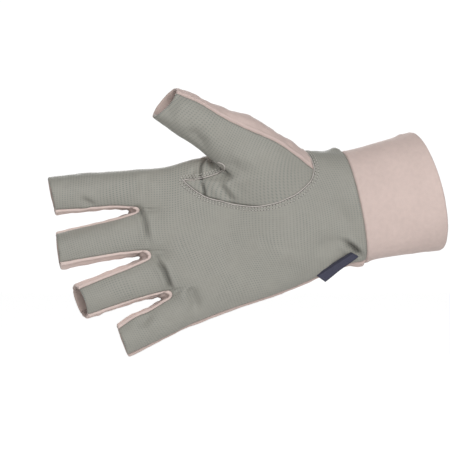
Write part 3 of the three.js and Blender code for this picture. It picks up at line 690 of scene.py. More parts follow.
def cloth_relief(points, normals, to_seam, to_hem, creases, seam, swell):
    """How far the creased cloth stands out from its plain skin, and how sharp its creases are.
    The sharpness sets their painted shade.
    """
    out, shade_and_rub = crease_relief(points, np.clip(-normals[:, 1], 0, 1), creases)
    for place, reach, rise in MOUNDS:
        out += rise * bell(np.linalg.norm(points - place, axis=1), reach)
    pull = 1 + PULL_SHARE * ripple(points, PULL_LENGTH, 1)
    out -= seam["depth"] * bell(to_seam, seam["width"])
    out += seam["roll"] * pull * bell(to_seam - ROLL_PLACE * seam["width"], ROLL_SPREAD * seam["width"])
    out += swell * ripple(points, LONG_RIPPLE, 2) * (1 - np.exp(-to_seam / RIPPLE_CALM))
    out += swell / 2 * ripple(points, SHORT_RIPPLE, 3)
    out += HEM_RISE * soft_limit(to_hem, HEM_DEPTH, FACE_SOFTNESS) * (1 - np.exp(-to_seam / HEM_CALM))
    return out, shade_and_rub


def rolled_lip(points, normals, outer, inner, hem, hem_edges):
    """The rows of points that round off an open hem between its outer and inner face."""
    outward = np.zeros_like(points)
    for i, j in hem_edges:
        outward[[i, j]] += unit(np.cross(points[j] - points[i], normals[i]))
    outward = unit(outward[hem])
    middle = (outer[hem] + inner[hem]) / 2
    half = (outer[hem] - inner[hem]) / 2
    radius = np.linalg.norm(half, axis=1, keepdims=True)
    turns = [math.radians(angle) for angle in LIP_ANGLES]
    return [middle + half * math.cos(turn) + outward * radius * math.sin(turn) for turn in turns]


def cloth_piece(name, skin, wall, creases, seam, swell, materials):
    """A closed wall of cloth on a skin: an outer and an inner face, and a rolled lip at each open hem.
    seam is how deep and wide the groove at its sewn edges is and how high the roll beside it;
    swell is how much the cloth ripples. The first material is for the face and the second for the lining."""
    used = np.unique([i for face in skin["faces"] for i in face])
    number = {was: now for now, was in enumerate(used.tolist())}
    points = skin["points"][used]
    faces = [[number[int(i)] for i in face] for face in skin["faces"]]
    edges = boundary(faces)
    on_hem = skin["hem"][used][edges].all(axis=1)
    sewn = np.unique(edges[~on_hem])
    hem = np.unique(edges[on_hem])
    to_seam = distance_to(points, points[sewn])
    to_hem = distance_to(points, points[hem]) if len(hem) else np.full(len(points), NO_HEM)
    normals = point_normals(points, faces)
    out, shade_and_rub = cloth_relief(points, normals, to_seam, to_hem, creases, seam, swell)
    # A strip brings its own folds, and painted shade behind its roll and in its web
    if "folds" in skin:
        out += skin["folds"][used]
        shade_and_rub += skin["shade"][used]
    outer = points + normals * out[:, None]
    normals = point_normals(outer, faces)
    thickness = wall + HEM_EXTRA * soft_limit(to_hem, HEM_DEPTH, LINING_SOFTNESS)
    inner = outer - normals * thickness[:, None]

    count = len(points)
    positions = [outer, inner]
    layers = [{i: i for i in sewn.tolist()}, {i: i + count for i in sewn.tolist()}, {}, {}, {}]
    mesh_faces = faces + [[i + count for i in reversed(face)] for face in faces]
    face_material = [0] * len(faces) + [1] * len(faces)
    if len(hem):
        positions += rolled_lip(points, normals, outer, inner, hem, edges[on_hem])
        for k in range(len(LIP_ANGLES)):
            first = 2 * count + k * len(hem)
            layers[2 + k] = {point: first + n for n, point in enumerate(hem.tolist())}
    for (i, j), rolled in zip(edges.tolist(), on_hem):
        lip = [(layer[i], layer[j]) for layer in layers[2:]] if rolled else []
        chain = [(i, j), *lip, (i + count, j + count)]
        for step, ((a, b), (c, d)) in enumerate(zip(chain, chain[1:])):
            mesh_faces.append([b, a, c, d])
            face_material.append(1 if rolled and step > 1 else 0)

    copies = [hem] * len(LIP_ANGLES) if len(hem) else []
    source = np.concatenate([np.arange(count), np.arange(count), *copies])
    piece = add_piece(name, np.concatenate(positions), mesh_faces, skin["cloth"][used][source])
    piece.data.polygons.foreach_set("material_index", face_material)
    for label, values in (("seam_mm", to_seam), ("crease_mm", shade_and_rub)):
        attribute = piece.data.attributes.new(label, "FLOAT", "POINT")
        attribute.data.foreach_set("value", values[source].astype(np.float32))
    for material in materials:
        piece.data.materials.append(material)
    SEWN.append({"piece": piece, "points": points, "sewn": sewn, "layers": layers})
    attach(piece, "root")
    return piece


# The groups' sockets of other kinds than a number
SOCKET_KINDS = {"Colour": "NodeSocketColor", "Cloth": "NodeSocketVector", "Place": "NodeSocketVector"}


def new_group(name, inputs, outputs):
    """A shader node group with named inputs, their values and named outputs: its tree and its two ends."""
    group = bpy.data.node_groups.new(name, "ShaderNodeTree")
    for label, value in inputs.items():
        kind = SOCKET_KINDS.get(label, "NodeSocketFloat")
        socket = group.interface.new_socket(label, in_out="INPUT", socket_type=kind)
        if value is not None:
            socket.default_value = value
    for label in outputs:
        kind = SOCKET_KINDS.get(label, "NodeSocketFloat")
        group.interface.new_socket(label, in_out="OUTPUT", socket_type=kind)
    return group, add_node(group, "NodeGroupInput").outputs, add_node(group, "NodeGroupOutput").inputs


def math_node(tree, operation, *values):
    return add_node(tree, "ShaderNodeMath", dict(enumerate(values)), operation=operation).outputs[0]


def mix_colour(tree, share, first, second, blend="MIX"):
    inputs = {0: share, 6: first, 7: second}
    return add_node(tree, "ShaderNodeMix", inputs, data_type="RGBA", blend_type=blend).outputs[2]


def shaded(tree, colour, value):
    """A colour made lighter or darker by a number near 1."""
    grey = add_node(tree, "ShaderNodeCombineColor", {0: value, 1: value, 2: value})
    return mix_colour(tree, 1.0, colour, grey.outputs[0], "MULTIPLY")


def ranged(tree, value, source, target=(0.0, 1.0), kind="LINEAR"):
    """A value carried from one range to another, and held at their ends."""
    ends = dict(zip(("From Min", "From Max", "To Min", "To Max"), (*source, *target)))
    return add_node(tree, "ShaderNodeMapRange", {"Value": value, **ends}, interpolation_type=kind).outputs[0]


def clouds(tree, place, scale, detail, output="Fac"):
    """Soft uneven noise."""
    inputs = {"Vector": place, "Scale": scale, "Detail": detail}
    return add_node(tree, "ShaderNodeTexNoise", inputs).outputs[output]


# The map's unit is 100 mm and the pitches are in millimetres: this makes one full turn for each pitch
WAVE_TURN = 2 * math.pi * 100


def emboss_group():
    """Small sunk dots in close columns, as the leather's rollers press them."""
    group, given, result = new_group(
        "embossed_dots", {"Cloth": None, "Along Pitch": 1.5, "Across Pitch": 1.12}, ("Dots", "Height")
    )
    pull = clouds(group, given["Cloth"], 2.6, 0.0, "Color")
    centred = add_node(group, "ShaderNodeVectorMath", {0: pull, 1: (0.5, 0.5, 0.5)}, operation="SUBTRACT")
    drawn = add_node(group, "ShaderNodeVectorMath", {0: centred.outputs[0], "Scale": 0.12}, operation="SCALE")
    cloth = add_node(group, "ShaderNodeVectorMath", {0: given["Cloth"], 1: drawn.outputs[0]}, operation="ADD")
    parts = add_node(group, "ShaderNodeSeparateXYZ", {0: cloth.outputs[0]}).outputs
    waves = []
    for axis, pitch, share in (("X", "Along Pitch", 1.05), ("Y", "Across Pitch", 1.1)):
        turns = math_node(group, "DIVIDE", parts[axis], given[pitch])
        wave = math_node(group, "COSINE", math_node(group, "MULTIPLY", turns, WAVE_TURN))
        waves.append(math_node(group, "MULTIPLY", wave, share))
    dots = ranged(group, math_node(group, "ADD", *waves), (0.3, 1.6), kind="SMOOTHSTEP")
    pressed = ranged(group, clouds(group, given["Cloth"], 7.0, 1.0), (0.3, 0.7), (0.45, 1.0))
    sunk = math_node(group, "MULTIPLY", dots, pressed)
    grain = math_node(group, "MULTIPLY", clouds(group, given["Cloth"], 260.0, 3.0), 0.35)
    group.links.new(sunk, result["Dots"])
    group.links.new(math_node(group, "SUBTRACT", grain, sunk), result["Height"])
    return group


def mottle_group():
    """Uneven dye and handling: a colour that drifts a little lighter and darker over the cloth."""
    group, given, result = new_group(
        "uneven_dye", {"Colour": (0.5, 0.5, 0.5, 1), "Place": None, "Amount": 0.06}, ("Colour",)
    )
    broad = math_node(group, "MULTIPLY", clouds(group, given["Place"], 22.0, 2.0), 1.3)
    fine = math_node(group, "MULTIPLY", clouds(group, given["Place"], 420.0, 2.0), 0.7)
    mixed = math_node(group, "SUBTRACT", math_node(group, "ADD", broad, fine), 1.0)
    drift = math_node(group, "MULTIPLY", mixed, given["Amount"])
    group.links.new(shaded(group, given["Colour"], math_node(group, "ADD", drift, 1.0)), result["Colour"])
    return group


def seam_shade_group():
    """Painted shade and grime along the seams, painted shade in the creases, and a paler rub on what stands
    out.
    """
    group, given, result = new_group(
        "seam_shade_and_rub",
        {
            "Colour": (0.5, 0.5, 0.5, 1), "Seam Distance": 9.0, "Crease Height": 0.0,
            "Seam Shade": 0.2, "Crease Shade": 0.25,
        },
        ("Colour",),
    )
    near = ranged(group, given["Seam Distance"], (0.1, 1.3), (1.0, 0.0), "SMOOTHSTEP")
    sunk = ranged(group, given["Crease Height"], (-1.8, -0.3), (1.0, 0.0), "SMOOTHSTEP")
    raised = ranged(group, given["Crease Height"], (0.1, 1.2), kind="SMOOTHSTEP")
    by_seams = math_node(group, "MULTIPLY", near, given["Seam Shade"])
    by_creases = math_node(group, "MULTIPLY", sunk, given["Crease Shade"])
    shade = math_node(group, "ADD", by_seams, by_creases)
    lift = math_node(group, "SUBTRACT", math_node(group, "MULTIPLY", raised, 0.05), shade)
    group.links.new(shaded(group, given["Colour"], math_node(group, "ADD", lift, 1.0)), result["Colour"])
    return group


EMBOSS, MOTTLE, SEAM_SHADING = emboss_group(), mottle_group(), seam_shade_group()


def use_group(tree, group, inputs):
    """The outputs of a group with some of its inputs given."""
    return add_node(tree, "ShaderNodeGroup", inputs, node_tree=group).outputs


def mottled(tree, colour, drift):
    """A colour with the uneven dye of the cloth on it."""
    place = add_node(tree, "ShaderNodeTexCoord").outputs["Object"]
    return use_group(tree, MOTTLE, {"Colour": colour, "Place": place, "Amount": drift})["Colour"]


def link_shader(tree, shader, colour, height, rough, bump):
    """Links a shader's colour, a roughness that follows the height, and the height as bump.
    rough is a range of heights and the roughness at its ends, and bump is a strength and a distance."""
    raised = add_node(tree, "ShaderNodeBump", {"Strength": bump[0], "Distance": bump[1], "Height": height})
    tree.links.new(colour, shader.inputs["Base Color"])
    tree.links.new(ranged(tree, height, *rough), shader.inputs["Roughness"])
    tree.links.new(raised.outputs[0], shader.inputs["Normal"])


def sewn_material(name, constants, pattern, dyes, drift, shades, rough, bump):
    """A sewn cloth: a pattern's group with its pitches, the two dyes that it mixes, painted shade and grime
    by its seams, painted shade in its creases and a paler rub on their lips.
    """
    material, tree, shader = new_material(name, constants)
    group, pitches, mask = pattern
    cloth = add_node(tree, "ShaderNodeUVMap", uv_map="cloth_mm").outputs[0]
    made = use_group(tree, group, {"Cloth": cloth, **pitches})
    shade_and_rub = use_group(tree, SEAM_SHADING, {
        "Colour": mottled(tree, mix_colour(tree, made[mask], *dyes), drift),
        "Seam Distance": add_node(tree, "ShaderNodeAttribute", attribute_name="seam_mm").outputs["Fac"],
        "Crease Height": add_node(tree, "ShaderNodeAttribute", attribute_name="crease_mm").outputs["Fac"],
        "Seam Shade": shades[0],
        "Crease Shade": shades[1],
    })
    link_shader(tree, shader, shade_and_rub["Colour"], made["Height"], rough, bump)
    return material


def leather_material():
    return sewn_material(
        "embossed_leather", {"Specular IOR Level": 0.35, "Sheen Weight": 0.08, "Sheen Roughness": 0.4},
        pattern=(EMBOSS, {"Along Pitch": 1.57, "Across Pitch": 1.12}, "Dots"),
        dyes=((0.336, 0.326, 0.289, 1), (0.226, 0.241, 0.224, 1)), drift=0.14, shades=(0.1, 0.36),
        rough=((-1.0, 0.3), (0.74, 0.58)), bump=(0.3, 0.0001),
    )


def knit_group():
    """The small ribs and loops of a fine stretch knit."""
    group, given, result = new_group(
        "fine_knit", {"Cloth": None, "Wale Pitch": 0.55, "Course Pitch": 0.4}, ("Loops", "Height")
    )
    parts = add_node(group, "ShaderNodeSeparateXYZ", {0: given["Cloth"]}).outputs
    shift = math_node(group, "MULTIPLY", clouds(group, given["Cloth"], 60.0, 1.0), 0.9)
    wales = math_node(group, "DIVIDE", parts["Y"], given["Wale Pitch"])
    wale = math_node(group, "ADD", math_node(group, "MULTIPLY", wales, WAVE_TURN / 2), shift)
    rib = math_node(group, "ABSOLUTE", math_node(group, "COSINE", wale))
    courses = math_node(group, "DIVIDE", parts["X"], given["Course Pitch"])
    lean = math_node(group, "MULTIPLY", rib, 1.4)
    course = math_node(group, "ADD", math_node(group, "MULTIPLY", courses, WAVE_TURN), lean)
    wave = math_node(group, "ADD", math_node(group, "COSINE", course), 1.0)
    loop = math_node(group, "MULTIPLY", wave, 0.25)
    loops = math_node(group, "MULTIPLY", rib, math_node(group, "ADD", loop, 0.5))
    fuzz = math_node(group, "MULTIPLY", clouds(group, given["Cloth"], 500.0, 3.0), 0.6)
    group.links.new(loops, result["Loops"])
    group.links.new(math_node(group, "ADD", loops, fuzz), result["Height"])
    return group


KNIT = knit_group()


def knit_material(name, low, high, shades=(0.14, 0.2), drift=0.1):
    return sewn_material(
        name, {"Specular IOR Level": 0.3, "Sheen Weight": 0.25, "Sheen Roughness": 0.35},
        pattern=(KNIT, {"Wale Pitch": 0.55, "Course Pitch": 0.4}, "Loops"),
        dyes=(low, high), drift=drift, shades=shades, rough=((0.0, 1.5), (0.85, 0.7)), bump=(0.5, 0.00008),
    )


LEATHER = leather_material()
BACKING = knit_material("leather_backing", (0.4, 0.37, 0.34, 1), (0.5, 0.46, 0.42, 1))

palm_skin = open_for_thumb(hand_skin(False, PALM_COLUMNS), SEAM_START, CROSSING)
palm_seam = {"depth": 0.5, "width": 0.6, "roll": 0.12}
palm = cloth_piece("palm_leather", palm_skin, LEATHER_WALL, PALM_CREASES, palm_seam, 0.3, [LEATHER, BACKING])
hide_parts("palm_panel")


# Back panel: one cut of beige stretch knit that is the glove's back and the back of each finger.
# It is sewn to the palm panel along both sides, inside out, so that no thread shows.
STRETCH_WALL = 1.0
STRETCH = knit_material("stretch_knit", (0.6, 0.475, 0.435, 1), (0.7, 0.565, 0.52, 1))
# The knit's inside is a darker copy of the beige knit: painted shade for the inside of the glove
SHADED_KNIT_INSIDE = knit_material("shaded_knit_inside", (0.5, 0.4, 0.36, 1), (0.6, 0.48, 0.44, 1))
back_skin = open_for_thumb(hand_skin(True, BACK_COLUMNS), CROSSING, SEAM_END)
back_seam = {"depth": 0.7, "width": 0.7, "roll": 0.3}
back = cloth_piece("back_knit", back_skin, STRETCH_WALL, (), back_seam, 0.5, [STRETCH, SHADED_KNIT_INSIDE])
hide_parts("back_panel")


# Fourchettes: three narrow strips of the beige knit, one lining each slit between two fingers.
# Each runs down one finger, round the web and up the next, with a small roll along its sewn edges.
DEPTH_CELLS = 22
# Folds across a strip near its web: how far along from the middle of the web, how wide and high, and at
# which share of the strip's depth. They slant by so many millimetres from edge to edge.
WEB_FOLDS = [
    (-2.0, 0.7, -1.7, 0.15), (0.2, 0.7, 0.6, 0.2), (2.2, 0.7, -1.6, 0.2),
    (-4.6, 1.1, 0.3, 0.25), (5.6, 1.2, 0.3, 0.25), (-8.5, 1.4, -0.35, 0.3), (10.0, 1.5, -0.35, 0.3),
    (-15.0, 2.0, -0.3, 0.3), (17.5, 2.2, -0.3, 0.3), (-25, 2.6, -0.3, 0.3), (28, 2.6, -0.3, 0.3),
]
WEB_FOLD_SLANT, WEB_FOLD_SPREAD = 3.0, 0.33
# Behind the roll at its palm edge a strip sinks into a hollow: how far back, how wide and how deep
HOLLOW_PLACE, HOLLOW_WIDTH, HOLLOW_DEPTH = 3.4, 1.3, 0.9
# It flares by this much over this length at its open ends
END_FLARE, END_FLARE_LENGTH = 0.4, 2.2
# Shade is painted behind the roll, and more of it in the web: how much, on the scale of the crease heights,
# how far along the web the painted shade reaches, and from where to where across the strip it sets in
ROLL_SHADE, WEB_SHADE, WEB_SHADE_REACH = 0.6, 2.2, 7.0
SHADE_START, SHADE_END = 1.4, 4.0
STRIP_SEAM = {"depth": 0.4, "width": 0.5, "roll": 0.6}
# The strips' paler knit, whose strong crease shade paints the shade behind the roll and in the web
STRIP_KNIT = knit_material("strip_knit", (0.69, 0.56, 0.515, 1), (0.79, 0.65, 0.605, 1), (0.03, 0.4))


def length_along(points):
    """How far along the cloth each row of points lies."""
    between = np.linalg.norm(np.diff(points, axis=0), axis=2).mean(axis=1)
    return np.cumsum(np.concatenate([[0], between]))


def fourchette(name, node, index):
    """The strip between one finger and the next: down its side, round the web and up the other side."""
    depth = steps(0, 1, DEPTH_CELLS)
    near, far, start = slit_sides(index, depth)
    reach = len(FINGER_SQUARE) - 1
    rises = steps(0, reach, reach * FINGER_CELLS)
    rows = [along(near, start + (reach - start) * rise / reach) for rise in rises[::-1]]
    rows += [slit_bend(index, depth, share) for share in steps(0, 1, WEB_CELLS)[1:-1]]
    rows += [along(far, start + (reach - start) * rise / reach) for rise in rises]
    points = np.stack(rows)
    ends = np.zeros(points.shape[:2], bool)
    ends[[0, -1]] = True
    lengthwise = length_along(points)
    across = flat_across(points)
    from_web = (lengthwise - lengthwise[len(lengthwise) // 2])[:, None]
    to_end = lengthwise[-1] / 2 - np.abs(from_web)
    from_edge = np.abs(across - across[:, :1])
    folds = END_FLARE * bell(to_end, END_FLARE_LENGTH)
    folds = folds - HOLLOW_DEPTH * bell(from_edge - HOLLOW_PLACE, HOLLOW_WIDTH)
    for place, width, height, edge in WEB_FOLDS:
        fold = bell(from_web - place - WEB_FOLD_SLANT * (depth - 0.5), width)
        folds += height * fold * bell(depth - edge, WEB_FOLD_SPREAD) * np.sin(math.pi * depth) ** 0.5
    painted_shade = ROLL_SHADE + WEB_SHADE * bell(from_web, WEB_SHADE_REACH)
    shade = -painted_shade * smooth_share(from_edge, SHADE_START, SHADE_END)
    skin = {
        "points": points.reshape(-1, 3),
        "folds": folds.ravel(),
        "shade": shade.ravel(),
        "faces": grid_faces(*points.shape[:2], True),
        "hem": ends.ravel(),
        "cloth": np.stack([np.repeat(lengthwise, points.shape[1]), across.ravel()], axis=1),
    }
    piece = cloth_piece(name, skin, STRETCH_WALL, (), STRIP_SEAM, 0.4, [STRIP_KNIT, SHADED_KNIT_INSIDE])
    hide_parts(node)
    return piece


strips = [
    fourchette("index_middle_strip", "fourchette_index_middle", 0),
    fourchette("middle_ring_strip", "fourchette_middle_ring", 1),
    fourchette("ring_little_strip", "fourchette_ring_little", 2),
]


# Thumb: a leather front and a stretch back, sewn to each other along both sides and set into the panels
# on one oval seam, whose upper branch tucks into the crotch of the thumb.
THUMB_RINGS = table(RING_COLUMNS, [
    ((-80.5, 30.5), (-107.5, 8.4), -23.5, 12.5, 10.0, 18, 2.1),
    ((-96.1, 39.8), (-118.0, 17.6), -24, 12.5, 11.5, 12, 2.1),
    ((-108.9, 43.9), (-126.5, 24.4), -26, 11.5, 11.0, 10, 2.1),
    ((-122.2, 49.3), (-135.5, 30.1), -28, 10.3, 10.3, 12, 2.1),
    ((-134.4, 54.2), (-147.0, 38.2), -30, 9.4, 9.4, 18, 2.1),
])
THUMB_CREASES = table(CREASE_COLUMNS, [
    # The folds of the ball of the thumb, and the crease near the open end
    (3.0, 1.7, 0.5, EVEN_FADE, [(-130.5, 30.6), (-125.0, 29.0), (-121.8, 25.0), (-118.7, 19.8)]),
    (3.6, 1.3, 0.5, EVEN_FADE, [(-109.8, 13.7), (-105.6, 12.8), (-101.2, 10.4), (-97.9, 5.4)]),
    (1.8, 1.8, 0.9, (0.3, 0.2), [(-114.0, 5.2), (-111.5, 1.4), (-108.4, -2.7), (-104.8, -6.8)]),
    (3.5, 1.4, 0.2, EVEN_FADE, [(-143.5, 37.5), (-137.5, 45.5), (-133.5, 50.0)]),
    # The puff under the curled end of the welt, and the tuck in the crotch
    (2.0, -1.2, 0.0, (0.05, 0.6), [(-110.2, 12.0), (-107.6, 9.7), (-104.5, 6.8)]),
    (0.8, 2.2, 0.4, (0.05, 0.15), [(-122.2, 6.6), (-121.2, 1.3), (-120.4, -3.2)]),
])
THUMB_TIP = len(THUMB_RINGS)
# Both side seams as an angle at the base and at each ring
RADIAL_SEAM = np.array([50, 42, 58, 54, 45, 38], float)
CROTCH_SEAM = np.array([197, 196, 194, 192, 190, 190], float)
# Grid cells for each of the two stations at the base, and for each one above them
BASE_STATIONS, BASE_CELLS, RISE_CELLS = 2, 22, 20
# Behind, the thumb rises straight from the palm: over which angles that sets in and ends again
BEHIND_START, BEHIND_END = (182, 206), (320, 350)
# Across the thumb in the picture plane. Between these stations the map passes over to the rolled cloth.
THUMB_ACROSS = np.cross([0, 1, 0], unit(np.array([58.0, 0, -36.0])))
ROLLED_START, ROLLED_END = 1.0, 2.4
# The thumb's rows of dots turn with its height too, and the map runs this much slower along the thumb
THUMB_GRAINS = (((-12, 0.35), (8, -0.1), (30, -0.75), (60, -0.75)),)
THUMB_GRAIN_PULL = 0.8


def thumb_skin(first, last):
    """The skin of one side of the thumb between two of its seams."""
    turns = thumb_turns(first[0], last[0])
    seam = thumb_seam_at(np.where(turns > SEAM_END, turns - 360, turns))
    base = palm_point(seam[:, 0], seam[:, 1])
    share = (turns - first[0]) / (last[0] - first[0])
    angles = [a + (b - a) * share for a, b in zip(first, last)]
    rings = [section(ring, angles[i + 1]) for i, ring in enumerate(THUMB_RINGS)]
    behind = smooth_share(angles[1], *BEHIND_START) * (1 - smooth_share(angles[1], *BEHIND_END))
    rings[0] = rings[0] + ((base + rings[1]) / 2 - rings[0]) * behind[:, None]
    lines = np.stack([base, *rings])
    low = steps(0, BASE_STATIONS, BASE_STATIONS * BASE_CELLS)
    high = steps(BASE_STATIONS, THUMB_TIP, (THUMB_TIP - BASE_STATIONS) * RISE_CELLS)
    stations = np.concatenate([low, high[1:]])
    points = np.stack([along(lines, station) for station in stations])
    planar = points @ THUMB_ACROSS
    sense = np.sign(planar[-1, -1] - planar[-1, 0])
    rolled = flat_across(points) * sense + planar[:, [len(turns) // 2]]
    across = planar + smooth_share(stations, ROLLED_START, ROLLED_END)[:, None] * (rolled - planar)
    lengthwise = along_grain(points.reshape(-1, 3), THUMB_GRAINS) * THUMB_GRAIN_PULL
    return {
        "points": points.reshape(-1, 3),
        "faces": grid_faces(*points.shape[:2], False),
        "hem": np.repeat(stations == THUMB_TIP, len(turns)),
        "cloth": np.stack([lengthwise, across.ravel()], axis=1),
    }


front_skin = thumb_skin(RADIAL_SEAM, CROTCH_SEAM)
front_seam = {"depth": 0.42, "width": 0.6, "roll": 0.1}
thumb_front = cloth_piece(
    "thumb_leather", front_skin, LEATHER_WALL, THUMB_CREASES, front_seam, 0.35, [LEATHER, BACKING]
)
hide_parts("thumb_front")
behind_skin = thumb_skin(CROTCH_SEAM, RADIAL_SEAM + 360)
behind_seam = {"depth": 0.65, "width": 0.7, "roll": 0.35}
thumb_back = cloth_piece("thumb_knit", behind_skin, STRETCH_WALL, (), behind_seam, 0.9, [STRETCH, SHADED_KNIT_INSIDE])
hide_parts("thumb_back")


# Cuff: a tube of the beige knit, folded double over its open end, sewn on round the wrist.
# It flares to its open end and stands smooth, with a soft ripple where the fold ends.
CUFF_RINGS = [PALM_RINGS[0]] + table(RING_COLUMNS, [
    ((-33.5, 24.7), (-20.4, -35.9), -6, 19.5, 18.5, 13, 2.15),
    ((-20.1, 28.7), (-5.3, -34.0), -3, 21.5, 20.5, 16, 2.1),
    ((-8.4, 32.2), (8.2, -32.2), 0, 23.5, 22.5, 16, 2.0),
])
CUFF_END = len(CUFF_RINGS) - 1
CUFF_WALL = 1.6
CUFF_CELLS = 15


def cuff_skin():
    """The skin of the cuff, with the same columns round the wrist as the two hand panels."""
    front = palm_angles(hand_columns(PALM_COLUMNS), False)
    behind = palm_angles(hand_columns(BACK_COLUMNS), True)[::-1] + 360
    angles = np.concatenate([front, behind[1:-1]])
    rows = steps(0, CUFF_END, CUFF_END * CUFF_CELLS)
    lines = np.stack([section(ring, angles) for ring in CUFF_RINGS])
    points = np.stack([along(lines, station) for station in rows])
    width = len(angles)
    first = np.arange(len(rows) - 1)[:, None] * width
    corner = (first + np.arange(width)).ravel()
    beside = (first + (np.arange(width) + 1) % width).ravel()
    return {
        "points": points.reshape(-1, 3),
        "faces": np.stack([beside, beside + width, corner + width, corner], axis=1),
        "hem": np.repeat(rows == CUFF_END, width),
        "cloth": np.stack([np.repeat(length_along(points), width), flat_across(points).ravel()], axis=1),
    }


CUFF_KNIT = knit_material("cuff_knit", (0.61, 0.488, 0.447, 1), (0.7, 0.565, 0.52, 1), (0.1, 0.1), 0.2)
cuff_seam = {"depth": 0.8, "width": 0.9, "roll": 0.12}
cuff = cloth_piece("cuff_knit_tube", cuff_skin(), CUFF_WALL, (), cuff_seam, 0.18, [CUFF_KNIT, SHADED_KNIT_INSIDE])
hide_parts("cuff")


# Seams: the panels' edges are drawn together where they are sewn, so that no gap shows between two of them.
# On the thumb's oval seam the turned edge of the leather shows as a thin pale welt, and two rows of
# topstitching follow it on the hand panels.

# Sewn points in one cell of this size, in millimetres, are one point of the seam
SHARED_PLACE = 0.04


def draw_together():
    """Moves the sewn edges of neighbouring pieces to their common place, outside and inside."""
    shared = {}
    for entry in SEWN:
        for i in entry["sewn"].tolist():
            key = tuple(np.round(entry["points"][i] / SHARED_PLACE).astype(int).tolist())
            shared.setdefault(key, []).append((entry, i))
    for spots in shared.values():
        for layer in range(2 + len(LIP_ANGLES)):
            held = [(entry, entry["layers"][layer][i]) for entry, i in spots if i in entry["layers"][layer]]
            if not held:
                continue
            ends = [entry["piece"].data.vertices[i] for entry, i in held]
            middle = sum((vertex.co for vertex in ends), Vector()) / len(ends)
            for vertex in ends:
                vertex.co = middle


draw_together()


# No run of thread follows this direction
ASIDE = (0.31, 0.9, 0.3)


def tube_mesh(name, runs, sides, material):
    """A mesh of closed tubes. Each run is its centre points and its radius at each of them."""
    positions, faces = [], []
    for centres, radii in runs:
        centres = np.asarray(centres, float)
        heading = unit(np.gradient(centres, axis=0))
        first = len(positions)
        for point, way, radius in zip(centres, heading, radii):
            side = unit(np.cross(way, ASIDE))
            up = np.cross(side, way)
            for k in range(sides):
                angle = 2 * math.pi * k / sides
                positions.append(point + radius * (side * math.cos(angle) + up * math.sin(angle)))
        for r in range(len(centres) - 1):
            for k in range(sides):
                a = first + r * sides + k
                b = first + r * sides + (k + 1) % sides
                faces.append([a, b, b + sides, a + sides])
        last = first + (len(centres) - 1) * sides
        faces.append([first + k for k in reversed(range(sides))])
        faces.append([last + k for k in range(sides)])
    piece = add_piece(name, positions, faces)
    piece.data.materials.append(material)
    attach(piece, "root")
    return piece


def thread_material(name, low, high, rough):
    """Twisted polyester thread: two plies that wind round each other."""
    material, tree, shader = new_material(name, {"Specular IOR Level": 0.4})
    place = add_node(tree, "ShaderNodeTexCoord").outputs["Object"]
    wave = {"Vector": place, "Scale": 900.0, "Distortion": 2.0}
    plies = add_node(tree, "ShaderNodeTexWave", wave, bands_direction="DIAGONAL").outputs["Fac"]
    tree.links.new(mix_colour(tree, plies, low, high), shader.inputs["Base Color"])
    tree.links.new(ranged(tree, plies, (0.0, 1.0), (rough + 0.1, rough)), shader.inputs["Roughness"])
    return material


def surface_of(*pieces):
    """The pieces' outer faces, for laying threads on them, in millimetres."""
    points, faces = [], []
    for entry in SEWN:
        if entry["piece"] not in pieces:
            continue
        mesh = entry["piece"].data
        first, count = len(points), len(entry["points"])
        points += [vertex.co * 1000 for vertex in mesh.vertices[:count]]
        faces += [[first + i for i in face.vertices] for face in mesh.polygons if max(face.vertices) < count]
    return BVHTree.FromPolygons(points, faces)


HAND_SURFACE = surface_of(palm, back)
loop_turns = np.unique(thumb_turns(SEAM_START, SEAM_END))
loop_places = thumb_seam_at(loop_turns)
loop = palm_point(loop_places[:, 0], loop_places[:, 1])[:-1]
loop_way = unit(np.roll(loop, -1, axis=0) - np.roll(loop, 1, axis=0))
# A short way along the palm and a short way round it
NEARBY = ((0.01, 0), (0, 0.4))
loop_up = unit(np.cross(*(palm_point(*(loop_places[:-1] + way).T) - loop for way in NEARBY)))
loop_out = np.cross(loop_up, loop_way)


# A row's points that come closer to the seam than this share of their distance are dropped
CLOSEST_SHARE = 0.8


def offset_line(distance, spacing, last=360):
    """The thumb seam's loop moved outward over the two panels, up to an angle of the thumb.
    Gives its points at an even spacing, and the surface's normals there."""
    found = []
    for point, out, turn in zip(loop, loop_out, loop_turns):
        if turn > last:
            continue
        place, normal, _, _ = HAND_SURFACE.find_nearest(Vector(point + out * distance))
        if np.linalg.norm(loop - np.array(place), axis=1).min() < CLOSEST_SHARE * distance:
            continue
        found.append([*place, *normal])
    found = np.array(found + found[:1] if last == 360 else found)
    passed = np.concatenate([[0], np.cumsum(np.linalg.norm(np.diff(found[:, :3], axis=0), axis=1))])
    marks = np.linspace(0, passed[-1], int(passed[-1] / spacing) + 1)
    found = np.stack([np.interp(marks, passed, column) for column in found.T], axis=1)
    return found[:, :3], unit(found[:, 3:])


# Welt: the turned raw edge of the thumb's leather, a thin pale line in the valley of the oval seam.
# It runs round the palm's part of the seam, and a short end of it curls up over the root of the thumb.
# In millimetres: how thick it is, how high it lies and how far apart the points of its line are
WELT_RADIUS, WELT_LIFT, WELT_SPACING = 0.24, 0.46, 0.5
# It is uneven by this share of its thickness, over this length
WELT_UNEVEN, UNEVEN_LENGTH = 0.12, 2.0
# The curl's path as x, z, cut into this many steps
WELT_CURL = np.array([
    (-110.6, 9.9), (-109.6, 11.2), (-109.4, 12.6), (-110.3, 13.8), (-111.8, 14.6), (-113.2, 15.1),
])
CURL_STEPS = 40
